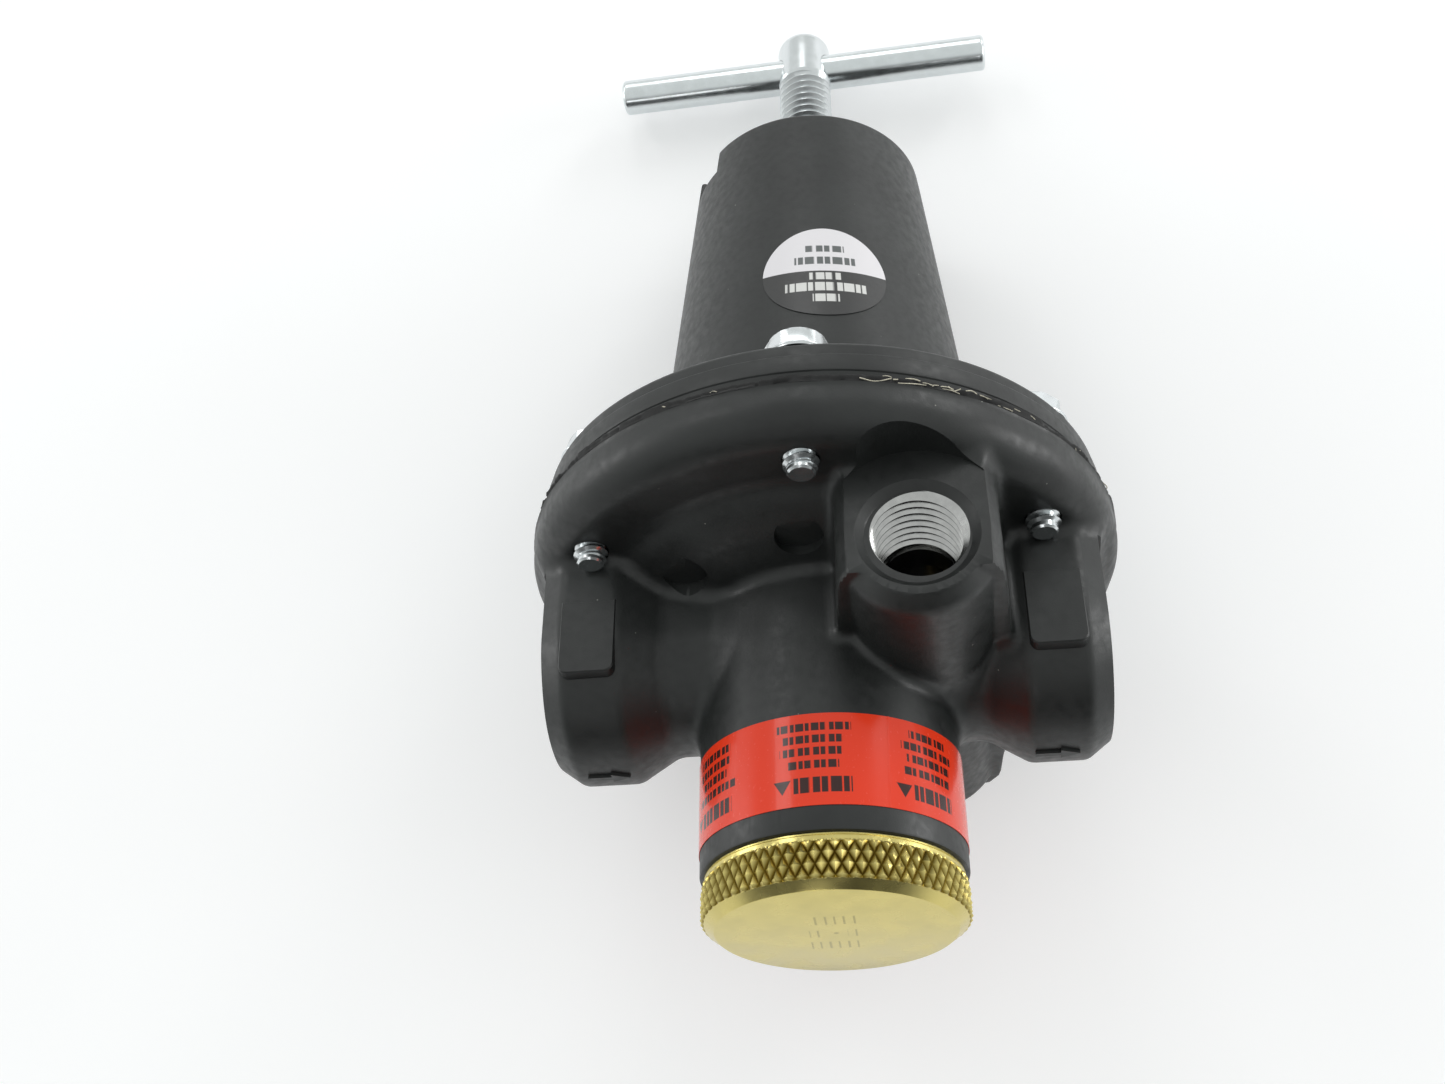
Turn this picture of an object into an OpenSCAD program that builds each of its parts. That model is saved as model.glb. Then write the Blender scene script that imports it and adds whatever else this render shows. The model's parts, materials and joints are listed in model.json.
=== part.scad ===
// Diaphragm air pressure regulator with a T-handle adjusting screw.
// The origin is the centre of the bottom plug's flat face. +Z runs up the screw to the
// T-handle, and +X runs with the flow, from the inlet port to the outlet port.

/* [Body casting] */
// Radius of the neck and centre column
neck_r = 17.9; // [17.4:0.1:18.4]
// Radius of the body flange
body_flange_r = 42.83; // [42.2:0.01:44]
// Height of the body's top face, where the diaphragm is clamped
seam_z = 57.1; // [56.6:0.1:58]
// Height at which the column meets the dished underside
dish_inner_z = 45; // [44.4:0.1:45.6]
// Height of the flat ring that the bonnet screws come out of
ring_z = 50; // [49.6:0.1:50.4]
// Radius rounding the flange's lower edge
rim_round = 5; // [3:0.1:6]

/* [Main ports] */
// Height of the inlet and outlet axis
port_z = 39.8; // [39:0.1:40.5]
// Distance from the centre to each port face
port_face_x = 38.6; // [37.8:0.1:39.4]
// Radius of each port boss
boss_r = 15.83; // [15:0.01:16.2]
// Wall radius of the half-inch pipe port
main_port_r = 10.6; // [9.6:0.1:10.8]
// Depth of the half-inch pipe port
main_port_depth = 17; // [15:0.5:17.5]

/* [Gauge ports] */
// How far towards the outlet the gauge ports sit
gauge_x = 14.1; // [13.6:0.1:14.6]
// Distance from the centre to each gauge port face
gauge_face_y = 33.1; // [32.4:0.1:33.6]
// Radius of each gauge boss
gauge_boss_r = 10.5; // [10:0.1:11]
// Wall radius of the quarter-inch pipe port
gauge_port_r = 6.8; // [6.2:0.1:7]
// Depth of the quarter-inch pipe port
gauge_port_depth = 12.6; // [11:0.1:13.4]

/* [Bonnet] */
// Radius of the bonnet flange
bonnet_flange_r = 41.25; // [40.8:0.05:41.8]
// Thickness of the bonnet flange
bonnet_flange_h = 6.8; // [6.2:0.1:7.4]
// Outer radius of the bell where it leaves the flange
bell_base_r = 25.6; // [25.2:0.1:26.4]
// Outer radius of the bell at its top
bell_top_r = 18.98; // [18.7:0.01:19.5]
// Height of the bonnet's top face
bell_top_z = 132.4; // [131.5:0.1:133.5]
// Direction of the notch in the bell's top rim
notch_angle = -150; // [-180:1:180]

/* [Bonnet screws] */
// Number of bonnet screws
screw_count = 6; // [6:6:6]
// Radius of the circle the bonnet screws stand on
screw_circle_r = 36; // [35.6:0.1:36.4]
// Radius of a bonnet screw's thread
screw_r = 2.4; // [2.2:0.05:2.45]
// Width across the flats of a bonnet screw's head
screw_flats = 7.94; // [7:0.01:8.2]

/* [Diaphragm] */
// Thickness of the diaphragm
diaphragm_t = 1.3; // [1:0.1:1.6]
// How far the diaphragm and valve can travel
diaphragm_travel = 2; // [1:0.1:2.2]
// Radius of the plate above the diaphragm
upper_plate_r = 23.5; // [20:0.1:23.8]
// Radius of the plate below the diaphragm
lower_plate_r = 15; // [12:0.1:18]

/* [Adjusting screw] */
// Radius of the three-eighths inch adjusting thread
adjuster_r = 4.7; // [4.5:0.01:4.75]
// Height of the screw's domed top
adjuster_top_z = 171; // [170:0.1:172]
// Height of the T-bar's axis
bar_z = 163.5; // [162.5:0.1:164]
// Length of the T-bar
bar_length = 67.2; // [60:0.1:75]
// Radius of the T-bar
bar_r = 3.17; // [2.5:0.01:3.3]
// Direction of the T-bar, measured from the port axis
bar_angle = -1.6; // [-180:0.1:180]

/* [Springs] */
// Mean radius of the range spring
range_coil_r = 13.4; // [13.2:0.1:13.6]
// Wire diameter of the range spring
range_wire_d = 3.8; // [3:0.1:4]
// Number of turns in the range spring
range_turns = 8.5; // [7.5:0.5:9]
// Mean radius of the valve spring
valve_coil_r = 5.6; // [5.2:0.1:6]
// Wire diameter of the valve spring
valve_wire_d = 1.1; // [0.9:0.1:1.3]
// Number of turns in the valve spring
valve_turns = 8; // [6:0.5:9]

/* [Bottom plug] */
// Radius of the knurled bottom plug
plug_r = 17.81; // [17.2:0.01:18.2]
// Height of the plug's head
plug_h = 7.05; // [6.6:0.05:7.4]
// Radius of the plug's threaded spigot
spigot_r = 13.2; // [12.9:0.1:13.4]

/* [Labels] */
// Lower edge of the band label on the neck
band_low_z = 10.3; // [9.6:0.1:11]
// Upper edge of the band label on the neck
band_high_z = 22.9; // [21:0.1:23.4]
// Radius of the round label on the bell
round_label_r = 9.5; // [8:0.1:10]
// Height of the round label's centre
round_label_z = 94.1; // [85:0.1:105]
// Direction of the round label's centre
round_label_angle = -81.3; // [-120:0.1:-60]

/* [Hidden] */
$fn = 72;

// Amount by which a cutting solid runs past the face it cuts
past = 1;
// Radial gap between two fixed pieces that are screwed or pressed together
seat_gap = 0.02;
// Radial gap between a shaft and the hole that it runs in
run_gap = 0.07;

// Underside of the body flange
dish_fillet = 1;
dish_outer_r = 27;
dish_outer_z = 46.8;
ring_inner_r = 31.8;
dish_slope = atan((dish_outer_z - dish_inner_z) / (dish_outer_r - neck_r));
fillet_z = dish_inner_z + dish_fillet * tan(dish_slope) - dish_fillet / cos(dish_slope);
mark_r = 3.35;
mark_z = 47.3;
mark_places = [[-1.5, -23.8], [-18.3, -16.1]];

// Port bosses: the chamfer on their ends and the waist behind them
boss_chamfer_x = 3.1;
boss_chamfer_r = 2.25;
boss_straight_x = 27.7;
boss_waist_x = 21.9;
boss_waist_r = 12.4;
boss_roof_z = 52;
port_lead_r = 1;
pad_proud = 0.1;
pad_inner_x = 27.8;
pad_low_z = 32.2;
pad_high_z = 43.3;
pad_corner_r = 1.2;
arrow_mid_x = 31;
arrow_length = 6;
arrow_proud = 0.45;

// Gauge bosses: a chamfered round below, a square block above, and the spot face in front
gauge_chamfer_y = 2.6;
gauge_chamfer_r = 1.45;
gauge_block_low_z = 34.3;
gauge_block_draft = 0.9;
gauge_spot_r = 12.35;
gauge_lead_r = 1.14;
gauge_drill_r = 5.2;
gauge_drill_y = 15.5;
gauge_bleed_r = 3;
gauge_bleed_z = 44.3;

// Chambers inside the body
counterbore_r = 15.6;
counterbore_h = 1.9;
plug_thread_top_z = 17;
chamber_r = 12;
web_low_z = 36.5;
web_high_z = 41;
partition_low_z = 49;
pocket_r = 7.2;
pocket_z = 51.5;
sense_r = 30;
sense_z = 52.6;
passage_half_w = 6.6;
inlet_passage_z = [31.8, 36.2];
outlet_passage_z = [41.6, 47.8];

// Bonnet
bonnet_z = seam_z + diaphragm_t;
flange_top_z = bonnet_z + bonnet_flange_h;
flange_step_z = bonnet_z + 4.4;
flange_step_r = 0.4;
flange_taper_r = 0.6;
flange_taper_h = 1.7;
flange_round = 1;
bell_fillet = 2.5;
bell_round = 0.9;
bell_slope = (bell_base_r - bell_top_r) / (bell_top_z - flange_top_z);
bell_roof_z = 126.5;
bell_boss_r = 8.5;
bell_boss_z = 122;
cavity_base_r = 22.2;
cavity_top_r = 16.4;
notch_w = 8.2;
notch_depth = 3.2;
notch_z = 127;
adjuster_hole_r = adjuster_r + run_gap;

// Bonnet screws
screw_clear_r = 2.65;
screw_tip_z = 47.7;
screw_point_h = 0.9;
screw_point_r = 1.9;
washer_r = 5.1;
washer_h = 1;
head_h = 3;

// Diaphragm stack
roll_inner_r = 24.4;
roll_outer_r = 30;
plate_t = 1.6;
hub_stud_r = 3.4;
hub_flange_r = 6;
hub_flange_t = 1.4;
hub_hole_r = 1.2;
nut_flats = 10;
nut_h = 3;
upper_plate_z = bonnet_z + plate_t;
lower_plate_z = seam_z - plate_t;
hub_z = lower_plate_z - hub_flange_t;
plate_lip_r = 10.8;
plate_lip_h = 1.6;

// Adjusting screw and spring button
button_r = 15.2;
button_t = 3;
button_z = 117.6;
button_spigot_r = 10.8;
button_spigot_h = 3;
adjuster_tip_z = 118.9;
adjuster_tip_r = 2.6;
adjuster_lead = 2;
head_base_z = 159.5;
head_r = 4.76;
head_round = 1.6;
bar_chamfer = 0.5;
bar_shift = -0.5;
bar_hole_r = bar_r + seat_gap;

// Valve
seat_outer_r = 8;
seat_orifice_r = 4.6;
seat_lip_r = 5.6;
seat_lip_h = 0.5;
disc_r = 7.4;
disc_t = 1.5;
valve_gap = 0.05;
disc_top_z = web_low_z - seat_lip_h - valve_gap;
disc_low_z = disc_top_z - disc_t;
poppet_r = 8.4;
poppet_h = 4.4;
poppet_z = disc_low_z - poppet_h + 1;
poppet_stem_r = 3.2;
poppet_tip_z = 5.6;
stem_r = 1.5;
stem_top_z = hub_z - valve_gap;
guide_r = 4;
guide_z = 48.4;
tube_x = 9.9;
tube_r = 1.9;
tube_bore_r = 1.3;
tube_low_z = 43.2;
tube_high_z = 53.4;

// Bottom plug
plug_chamfer_h = 1.07;
plug_chamfer_r = 1.75;
plug_shoulder = 0.5;
plug_well_r = 7.4;
plug_well_z = 8.6;
plug_guide_z = 3;
stem_ring_z = 6.4;
stem_ring_wire_r = 0.75;
stem_ring_mid_r = 4.05;
plug_ring_wire_r = 0.9;
plug_ring_mid_r = 14.4;

// Labels
label_lift = 0.02;
round_label_lift = 0.22;
label_t = 0.1;

// Points along a circular arc, from one angle to another
function arc(x, y, r, from, to, steps = 6) =
    [for (i = [0:steps]) let (a = from + (to - from) * i / steps) [x + r * cos(a), y + r * sin(a)]];

// Outer radius of the bell at a height
function bell_r(z) = bell_base_r - (z - flange_top_z) * bell_slope;

// Height of a closed-end coil's centre line after u of its turns
function coil_z(u, turns, wire, length) =
    let (pitch = (length - 3 * wire) / (turns - 2))
    wire / 2 + wire * min(u, 1) + pitch * min(max(u - 1, 0), turns - 2)
    + wire * max(u - turns + 1, 0);

// Compression spring standing on z = 0, its two end turns closed
module coil(mid_r, wire, turns, length) {
    sides = 8;
    steps = 16;
    rings = turns * steps;
    points = [for (i = [0:rings]) for (j = [0:sides - 1])
        let (a = 360 * i / steps, b = 360 * j / sides, r = mid_r + wire / 2 * cos(b))
        [r * cos(a), r * sin(a), coil_z(i / steps, turns, wire, length) + wire / 2 * sin(b)]];
    first_end = [[for (j = [0:sides - 1]) j]];
    last_end = [[for (j = [sides - 1:-1:0]) rings * sides + j]];
    walls = [for (i = [0:rings - 1]) for (j = [0:sides - 1])
        let (k = (j + 1) % sides, p = i * sides, q = p + sides)
        each [[p + j, q + j, q + k], [p + j, q + k, p + k]]];
    polyhedron(points, concat(first_end, walls, last_end), convexity = 10);
}

// Solid ring of round section
module o_ring(mid_r, wire_r) {
    rotate_extrude()
        translate([mid_r, 0])
            circle(wire_r, $fn = 32);
}

// Plain tube
module tube(outer_r, inner_r, height) {
    difference() {
        cylinder(r = outer_r, h = height);
        translate([0, 0, -past])
            cylinder(r = inner_r, h = height + 2 * past);
    }
}

// Copies its children onto the bonnet screws' circle
module at_screws() {
    for (i = [0:screw_count - 1])
        rotate([0, 0, 30 + i * 360 / screw_count])
            translate([screw_circle_r, 0, 0])
                children();
}

// Column, dished underside and flange, before the bosses are added
module turned_casting() {
    rotate_extrude()
        polygon(concat(
            [[0, plug_h], [neck_r, plug_h]],
            arc(neck_r + dish_fillet, fillet_z, dish_fillet, 180, 90 + dish_slope, 5),
            [[dish_outer_r, dish_outer_z], [ring_inner_r, ring_z]],
            arc(body_flange_r - rim_round, ring_z + rim_round, rim_round, -90, 0, 7),
            [[body_flange_r, seam_z - 0.3], [body_flange_r - 0.3, seam_z], [0, seam_z]]));
}

// Outlet boss, along +X: a chamfered round below and a block up to the flange
module main_boss() {
    translate([0, 0, port_z])
        rotate([0, 90, 0])
            rotate_extrude()
                polygon([[0, 0], [boss_waist_r, 0], [boss_waist_r, boss_waist_x],
                    [boss_r, boss_straight_x], [boss_r, port_face_x - boss_chamfer_x],
                    [boss_r - boss_chamfer_r, port_face_x], [0, port_face_x]]);
    translate([0, 0, port_z])
        linear_extrude(boss_roof_z - port_z)
            for (side = [-1, 1])
                polygon([[0, 0], [0, side * boss_waist_r], [boss_waist_x, side * boss_waist_r],
                    [boss_straight_x, side * boss_r], [port_face_x - boss_chamfer_x, side * boss_r],
                    [port_face_x, side * (boss_r - boss_chamfer_r)], [port_face_x, 0]]);
    for (side = [0, 1])
        mirror([0, side, 0])
            main_boss_pad();
}

// Raised wrench pad on the side of a main boss, its low inner corner rounded
module main_boss_pad() {
    outer_x = port_face_x - boss_chamfer_x;
    rotate([90, 0, 0])
        linear_extrude(boss_r + pad_proud)
            polygon(concat([[outer_x, pad_high_z], [outer_x, pad_low_z]],
                arc(pad_inner_x + pad_corner_r, pad_low_z + pad_corner_r, pad_corner_r, 270, 180, 4),
                [[pad_inner_x, pad_high_z]]));
}

// Gauge boss, along -Y: a chamfered round below and a square block up to the flange
module gauge_boss() {
    chamfer_y = gauge_face_y - gauge_chamfer_y;
    base_half = gauge_boss_r + gauge_block_draft;
    face_half = gauge_boss_r - gauge_chamfer_r;
    translate([gauge_x, 0, port_z])
        rotate([90, 0, 0])
            rotate_extrude()
                polygon([[0, 0], [gauge_boss_r, 0], [gauge_boss_r, chamfer_y],
                    [face_half, gauge_face_y], [0, gauge_face_y]]);
    translate([gauge_x, 0, gauge_block_low_z])
        linear_extrude(boss_roof_z - gauge_block_low_z)
            polygon([[-base_half, 0], [-base_half, -neck_r], [-gauge_boss_r, -chamfer_y],
                [-face_half, -gauge_face_y], [face_half, -gauge_face_y],
                [gauge_boss_r, -chamfer_y], [base_half, -neck_r], [base_half, 0]]);
}

// Flow arrow standing on the underside of a boss, pointing along +X
module flow_arrow(mid_x) {
    shaft_half = 0.45;
    head_half = 1.2;
    head_x = 0.4;
    translate([mid_x, 0, port_z - boss_r - arrow_proud])
        linear_extrude(2)
            polygon([[-arrow_length / 2, -shaft_half], [head_x, -shaft_half], [head_x, -head_half],
                [arrow_length / 2, 0], [head_x, head_half], [head_x, shaft_half],
                [-arrow_length / 2, shaft_half]]);
}

// Straight port with a lead-in cone, its mouth at z = 0 and its floor below
module port_cut(r, depth, lead) {
    translate([0, 0, -depth])
        cylinder(r = r, h = depth + past);
    translate([0, 0, -lead])
        cylinder(r1 = r, r2 = r + lead + past, h = lead + past);
}

// Chambers and drillings inside the body, along the valve's axis
module valve_bores() {
    translate([0, 0, plug_h - past])
        cylinder(r = counterbore_r, h = counterbore_h + past);
    translate([0, 0, plug_h])
        cylinder(r = spigot_r + seat_gap, h = plug_thread_top_z - plug_h);
    translate([0, 0, plug_thread_top_z - past])
        cylinder(r = chamber_r, h = web_low_z - plug_thread_top_z + past);
    translate([0, 0, web_low_z - past])
        cylinder(r = seat_outer_r + seat_gap, h = web_high_z - web_low_z + 2 * past);
    translate([0, 0, web_high_z])
        cylinder(r = chamber_r, h = partition_low_z - web_high_z);
    translate([0, 0, partition_low_z - past])
        cylinder(r = guide_r + seat_gap, h = pocket_z - partition_low_z + 2 * past);
    translate([tube_x, 0, partition_low_z - past])
        cylinder(r = tube_r + seat_gap, h = sense_z - partition_low_z + 2 * past);
    translate([0, 0, pocket_z])
        cylinder(r = pocket_r, h = sense_z - pocket_z + past);
    translate([0, 0, sense_z])
        cylinder(r = sense_r, h = seam_z - sense_z + past);
}

// Passage from a main port's floor to the chamber beside it, along +X
module passage(levels) {
    from_x = chamber_r - 4;
    to_x = port_face_x - main_port_depth + past;
    translate([from_x, -passage_half_w, levels[0]])
        cube([to_x - from_x, 2 * passage_half_w, levels[1] - levels[0]]);
}

// Gauge port along -Y, its tap drilling, the hole into the outlet passage, and the spot
// face, which bites into the flange's edge above the port
module gauge_cut() {
    translate([gauge_x, -gauge_face_y, port_z])
        rotate([90, 0, 0]) {
            port_cut(gauge_port_r, gauge_port_depth, gauge_lead_r);
            cylinder(r = gauge_spot_r, h = body_flange_r - gauge_face_y);
        }
    translate([gauge_x, -gauge_drill_y, port_z])
        rotate([90, 0, 0])
            cylinder(r = gauge_drill_r, h = gauge_face_y - gauge_drill_y - past);
    translate([gauge_x, 0, gauge_bleed_z])
        rotate([90, 0, 0])
            cylinder(r = gauge_bleed_r, h = gauge_drill_y + past);
}

// Die-cast body: inlet at -X, outlet at +X, a gauge port front and back
module body() {
    color([0.09, 0.09, 0.1])
        difference() {
            union() {
                turned_casting();
                for (side = [0, 1])
                    mirror([side, 0, 0])
                        main_boss();
                for (side = [0, 1])
                    mirror([0, side, 0])
                        gauge_boss();
                flow_arrow(-arrow_mid_x);
                flow_arrow(arrow_mid_x);
            }
            valve_bores();
            for (side = [0, 1])
                mirror([side, 0, 0])
                    translate([port_face_x, 0, port_z])
                        rotate([0, 90, 0])
                            port_cut(main_port_r, main_port_depth, port_lead_r);
            mirror([1, 0, 0])
                passage(inlet_passage_z);
            passage(outlet_passage_z);
            for (side = [0, 1])
                mirror([0, side, 0])
                    gauge_cut();
            at_screws()
                translate([0, 0, screw_tip_z - past])
                    cylinder(r = screw_r + seat_gap, h = seam_z - screw_tip_z + 2 * past, $fn = 32);
            for (place = mark_places)
                translate([place[0], place[1], mark_z - 3])
                    cylinder(r = mark_r, h = 3, $fn = 32);
        }
}

// Bell-shaped bonnet over the range spring, with the tapped hole for the adjusting screw
module bonnet() {
    color([0.09, 0.09, 0.1])
        difference() {
            rotate_extrude()
                polygon(concat(
                    [[0, bonnet_z], [bonnet_flange_r + flange_step_r - flange_taper_r, bonnet_z],
                        [bonnet_flange_r + flange_step_r, bonnet_z + flange_taper_h],
                        [bonnet_flange_r + flange_step_r, flange_step_z],
                        [bonnet_flange_r, flange_step_z]],
                    arc(bonnet_flange_r - flange_round, flange_top_z - flange_round, flange_round, 0, 90, 4),
                    arc(bell_base_r + bell_fillet, flange_top_z + bell_fillet, bell_fillet, 270, 180, 5),
                    arc(bell_top_r - bell_round, bell_top_z - bell_round, bell_round, 0, 90, 6),
                    [[0, bell_top_z]]));
            rotate_extrude()
                polygon([[0, bonnet_z - past], [sense_r, bonnet_z - past],
                    [sense_r, bonnet_z + 3.2], [cavity_base_r + 1.5, bonnet_z + 5],
                    [cavity_base_r, bonnet_z + 8], [cavity_top_r, bell_roof_z],
                    [bell_boss_r, bell_roof_z], [bell_boss_r, bell_boss_z], [0, bell_boss_z]]);
            translate([0, 0, bell_boss_z - past])
                cylinder(r = adjuster_hole_r, h = bell_top_z - bell_boss_z + 2 * past);
            rotate([0, 0, notch_angle])
                translate([bell_top_r - notch_depth, -notch_w / 2, notch_z])
                    cube([2 * notch_depth, notch_w, bell_top_z - notch_z + past]);
            at_screws()
                translate([0, 0, bonnet_z - past])
                    cylinder(r = screw_clear_r, h = bonnet_flange_h + 2 * past, $fn = 32);
        }
}

// Hex washer-head screws that clamp the bonnet and diaphragm to the body
module bonnet_screws() {
    shank_low_z = screw_tip_z + screw_point_h;
    color([0.72, 0.73, 0.74])
        at_screws() {
            translate([0, 0, screw_tip_z])
                cylinder(r1 = screw_point_r, r2 = screw_point_r, h = screw_point_h, $fn = 32);
            translate([0, 0, shank_low_z])
                cylinder(r = screw_r, h = flange_top_z - shank_low_z, $fn = 32);
            translate([0, 0, flange_top_z])
                cylinder(r = washer_r, h = washer_h, $fn = 32);
            translate([0, 0, flange_top_z + washer_h])
                cylinder(d = screw_flats / cos(30), h = head_h, $fn = 6);
        }
}

// Diaphragm: a clamped flat rim, one rolled convolution, and a flat centre
module diaphragm() {
    roll_mid_r = (roll_inner_r + roll_outer_r) / 2;
    roll_r = (roll_outer_r - roll_inner_r) / 2;
    color([0.1, 0.1, 0.1])
        difference() {
            rotate_extrude()
                polygon(concat(
                    [[hub_stud_r + seat_gap, seam_z]],
                    arc(roll_mid_r, seam_z, roll_r - diaphragm_t / 2, 180, 0, 8),
                    [[bonnet_flange_r + 0.5, seam_z], [bonnet_flange_r + 0.5, bonnet_z]],
                    arc(roll_mid_r, bonnet_z, roll_r, 0, 180, 8),
                    [[hub_stud_r + seat_gap, bonnet_z]]));
            at_screws()
                translate([0, 0, seam_z - past])
                    cylinder(r = screw_clear_r, h = diaphragm_t + 2 * past, $fn = 32);
        }
}

// Pressed plate that spreads the range spring's load over the diaphragm
module upper_diaphragm_plate() {
    color([0.7, 0.71, 0.72]) {
        translate([0, 0, bonnet_z])
            tube(upper_plate_r, hub_stud_r + seat_gap, plate_t);
        translate([0, 0, upper_plate_z])
            tube(plate_lip_r, plate_lip_r - 1, plate_lip_h);
    }
}

// Plate on the pressure side of the diaphragm
module lower_diaphragm_plate() {
    color([0.7, 0.71, 0.72])
        translate([0, 0, lower_plate_z])
            tube(lower_plate_r, hub_stud_r + seat_gap, plate_t);
}

// Hollow hub through the diaphragm: the valve stem closes its relief hole
module relief_hub() {
    hub_top_z = upper_plate_z + nut_h + 1;
    color([0.8, 0.66, 0.32])
        difference() {
            union() {
                translate([0, 0, hub_z])
                    cylinder(r = hub_flange_r, h = hub_flange_t);
                translate([0, 0, lower_plate_z])
                    cylinder(r = hub_stud_r, h = hub_top_z - lower_plate_z);
            }
            translate([0, 0, hub_z - past])
                cylinder(r = hub_hole_r, h = hub_top_z - hub_z + 2 * past, $fn = 32);
        }
}

// Nut that draws the two plates together on the hub
module hub_nut() {
    color([0.7, 0.71, 0.72])
        translate([0, 0, upper_plate_z])
            difference() {
                cylinder(d = nut_flats / cos(30), h = nut_h, $fn = 6);
                translate([0, 0, -past])
                    cylinder(r = hub_stud_r + seat_gap, h = nut_h + 2 * past);
            }
}

// Main spring between the upper plate and the spring button
module range_spring() {
    color([0.55, 0.56, 0.57])
        translate([0, 0, upper_plate_z + valve_gap])
            coil(range_coil_r, range_wire_d, range_turns, button_z - upper_plate_z - 2 * valve_gap);
}

// Spring button: the adjusting screw's tip bears in its dimple
module spring_button() {
    dimple_r = adjuster_r + 0.3;
    color([0.7, 0.71, 0.72])
        difference() {
            union() {
                translate([0, 0, button_z])
                    cylinder(r = button_r, h = button_t);
                translate([0, 0, button_z - button_spigot_h])
                    cylinder(r = button_spigot_r, h = button_spigot_h);
            }
            translate([0, 0, adjuster_tip_z])
                cylinder(r1 = adjuster_tip_r + 0.3, r2 = dimple_r + 0.5, h = adjuster_lead + 0.5);
        }
}

// Adjusting screw with its plain domed head, cross-drilled for the T-bar
module adjusting_screw() {
    color([0.72, 0.74, 0.75])
        difference() {
            rotate_extrude()
                polygon(concat(
                    [[0, adjuster_tip_z], [adjuster_tip_r, adjuster_tip_z],
                        [adjuster_r, adjuster_tip_z + adjuster_lead], [adjuster_r, head_base_z],
                        [head_r, head_base_z]],
                    arc(head_r - head_round, adjuster_top_z - head_round, head_round, 0, 90, 6),
                    [[0, adjuster_top_z]]));
            translate([0, 0, bar_z])
                rotate([0, 90, bar_angle])
                    cylinder(r = bar_hole_r, h = 4 * head_r, center = true, $fn = 48);
        }
}

// Bar of the T-handle
module t_bar() {
    low = bar_shift - bar_length / 2;
    high = bar_shift + bar_length / 2;
    color([0.74, 0.75, 0.76])
        translate([0, 0, bar_z])
            rotate([0, 90, bar_angle])
                rotate_extrude($fn = 48)
                    polygon([[0, low], [bar_r - bar_chamfer, low], [bar_r, low + bar_chamfer],
                        [bar_r, high - bar_chamfer], [bar_r - bar_chamfer, high], [0, high]]);
}

// Seat insert in the web between the inlet and outlet chambers
module valve_seat() {
    color([0.8, 0.66, 0.32]) {
        translate([0, 0, web_low_z])
            tube(seat_outer_r, seat_orifice_r, web_high_z - web_low_z);
        translate([0, 0, web_low_z - seat_lip_h])
            tube(seat_lip_r, seat_orifice_r, seat_lip_h);
    }
}

// Rubber disc that closes on the seat
module valve_disc() {
    color([0.12, 0.12, 0.12])
        translate([0, 0, disc_low_z])
            tube(disc_r, stem_r + seat_gap, disc_t);
}

// Poppet that holds the rubber disc and slides in the bottom plug
module valve_poppet() {
    color([0.8, 0.66, 0.32])
        difference() {
            union() {
                translate([0, 0, poppet_z])
                    cylinder(r = poppet_r, h = poppet_h);
                translate([0, 0, poppet_tip_z])
                    cylinder(r = poppet_stem_r, h = poppet_z - poppet_tip_z);
            }
            translate([0, 0, disc_low_z])
                cylinder(r = disc_r + seat_gap, h = poppet_h);
            translate([0, 0, disc_low_z - 3])
                cylinder(r = stem_r + seat_gap, h = 4, $fn = 32);
        }
}

// Stem between the poppet and the relief hub
module valve_stem() {
    foot_z = disc_low_z - 3;
    dome_h = 0.6;
    color([0.78, 0.78, 0.78])
        rotate_extrude($fn = 32)
            polygon([[0, foot_z], [stem_r, foot_z], [stem_r, stem_top_z - dome_h],
                [stem_r - dome_h, stem_top_z], [0, stem_top_z]]);
}

// Light spring that closes the valve
module valve_spring() {
    color([0.6, 0.6, 0.6])
        translate([0, 0, plug_well_z + valve_gap])
            coil(valve_coil_r, valve_wire_d, valve_turns, poppet_z - plug_well_z - 2 * valve_gap);
}

// Bush in the partition that guides the stem
module stem_guide() {
    color([0.85, 0.84, 0.8])
        translate([0, 0, guide_z])
            tube(guide_r, stem_r + run_gap, pocket_z - guide_z);
}

// Tube that carries outlet pressure to the diaphragm
module aspirator_tube() {
    color([0.8, 0.66, 0.32])
        translate([tube_x, 0, tube_low_z])
            tube(tube_r, tube_bore_r, tube_high_z - tube_low_z);
}

// Brass plug that closes the body and guides the poppet
module bottom_plug() {
    color([0.78, 0.62, 0.24])
        difference() {
            rotate_extrude()
                polygon([[0, 0], [plug_r - plug_chamfer_r, 0], [plug_r, plug_chamfer_h],
                    [plug_r, plug_h - plug_shoulder], [plug_r - plug_shoulder, plug_h],
                    [spigot_r, plug_h], [spigot_r, plug_thread_top_z - 1],
                    [spigot_r - 1, plug_thread_top_z], [0, plug_thread_top_z]]);
            translate([0, 0, plug_well_z])
                cylinder(r = plug_well_r, h = plug_thread_top_z);
            translate([0, 0, plug_guide_z])
                cylinder(r = poppet_stem_r + run_gap, h = plug_thread_top_z, $fn = 48);
            translate([0, 0, stem_ring_z - stem_ring_wire_r - 0.1])
                cylinder(r = stem_ring_mid_r + stem_ring_wire_r + 0.02, h = 2 * stem_ring_wire_r + 0.2);
        }
}

// Seal between the plug's head and the neck
module plug_o_ring() {
    color([0.08, 0.08, 0.08])
        translate([0, 0, plug_h + plug_ring_wire_r])
            o_ring(plug_ring_mid_r, plug_ring_wire_r);
}

// Seal around the poppet's lower stem, which balances the valve
module stem_o_ring() {
    color([0.08, 0.08, 0.08])
        translate([0, 0, stem_ring_z])
            o_ring(stem_ring_mid_r, stem_ring_wire_r);
}

// Band label around the neck
module neck_label() {
    color([0.86, 0.2, 0.1])
        translate([0, 0, band_low_z])
            tube(neck_r + label_lift + label_t, neck_r + label_lift, band_high_z - band_low_z);
}

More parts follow.
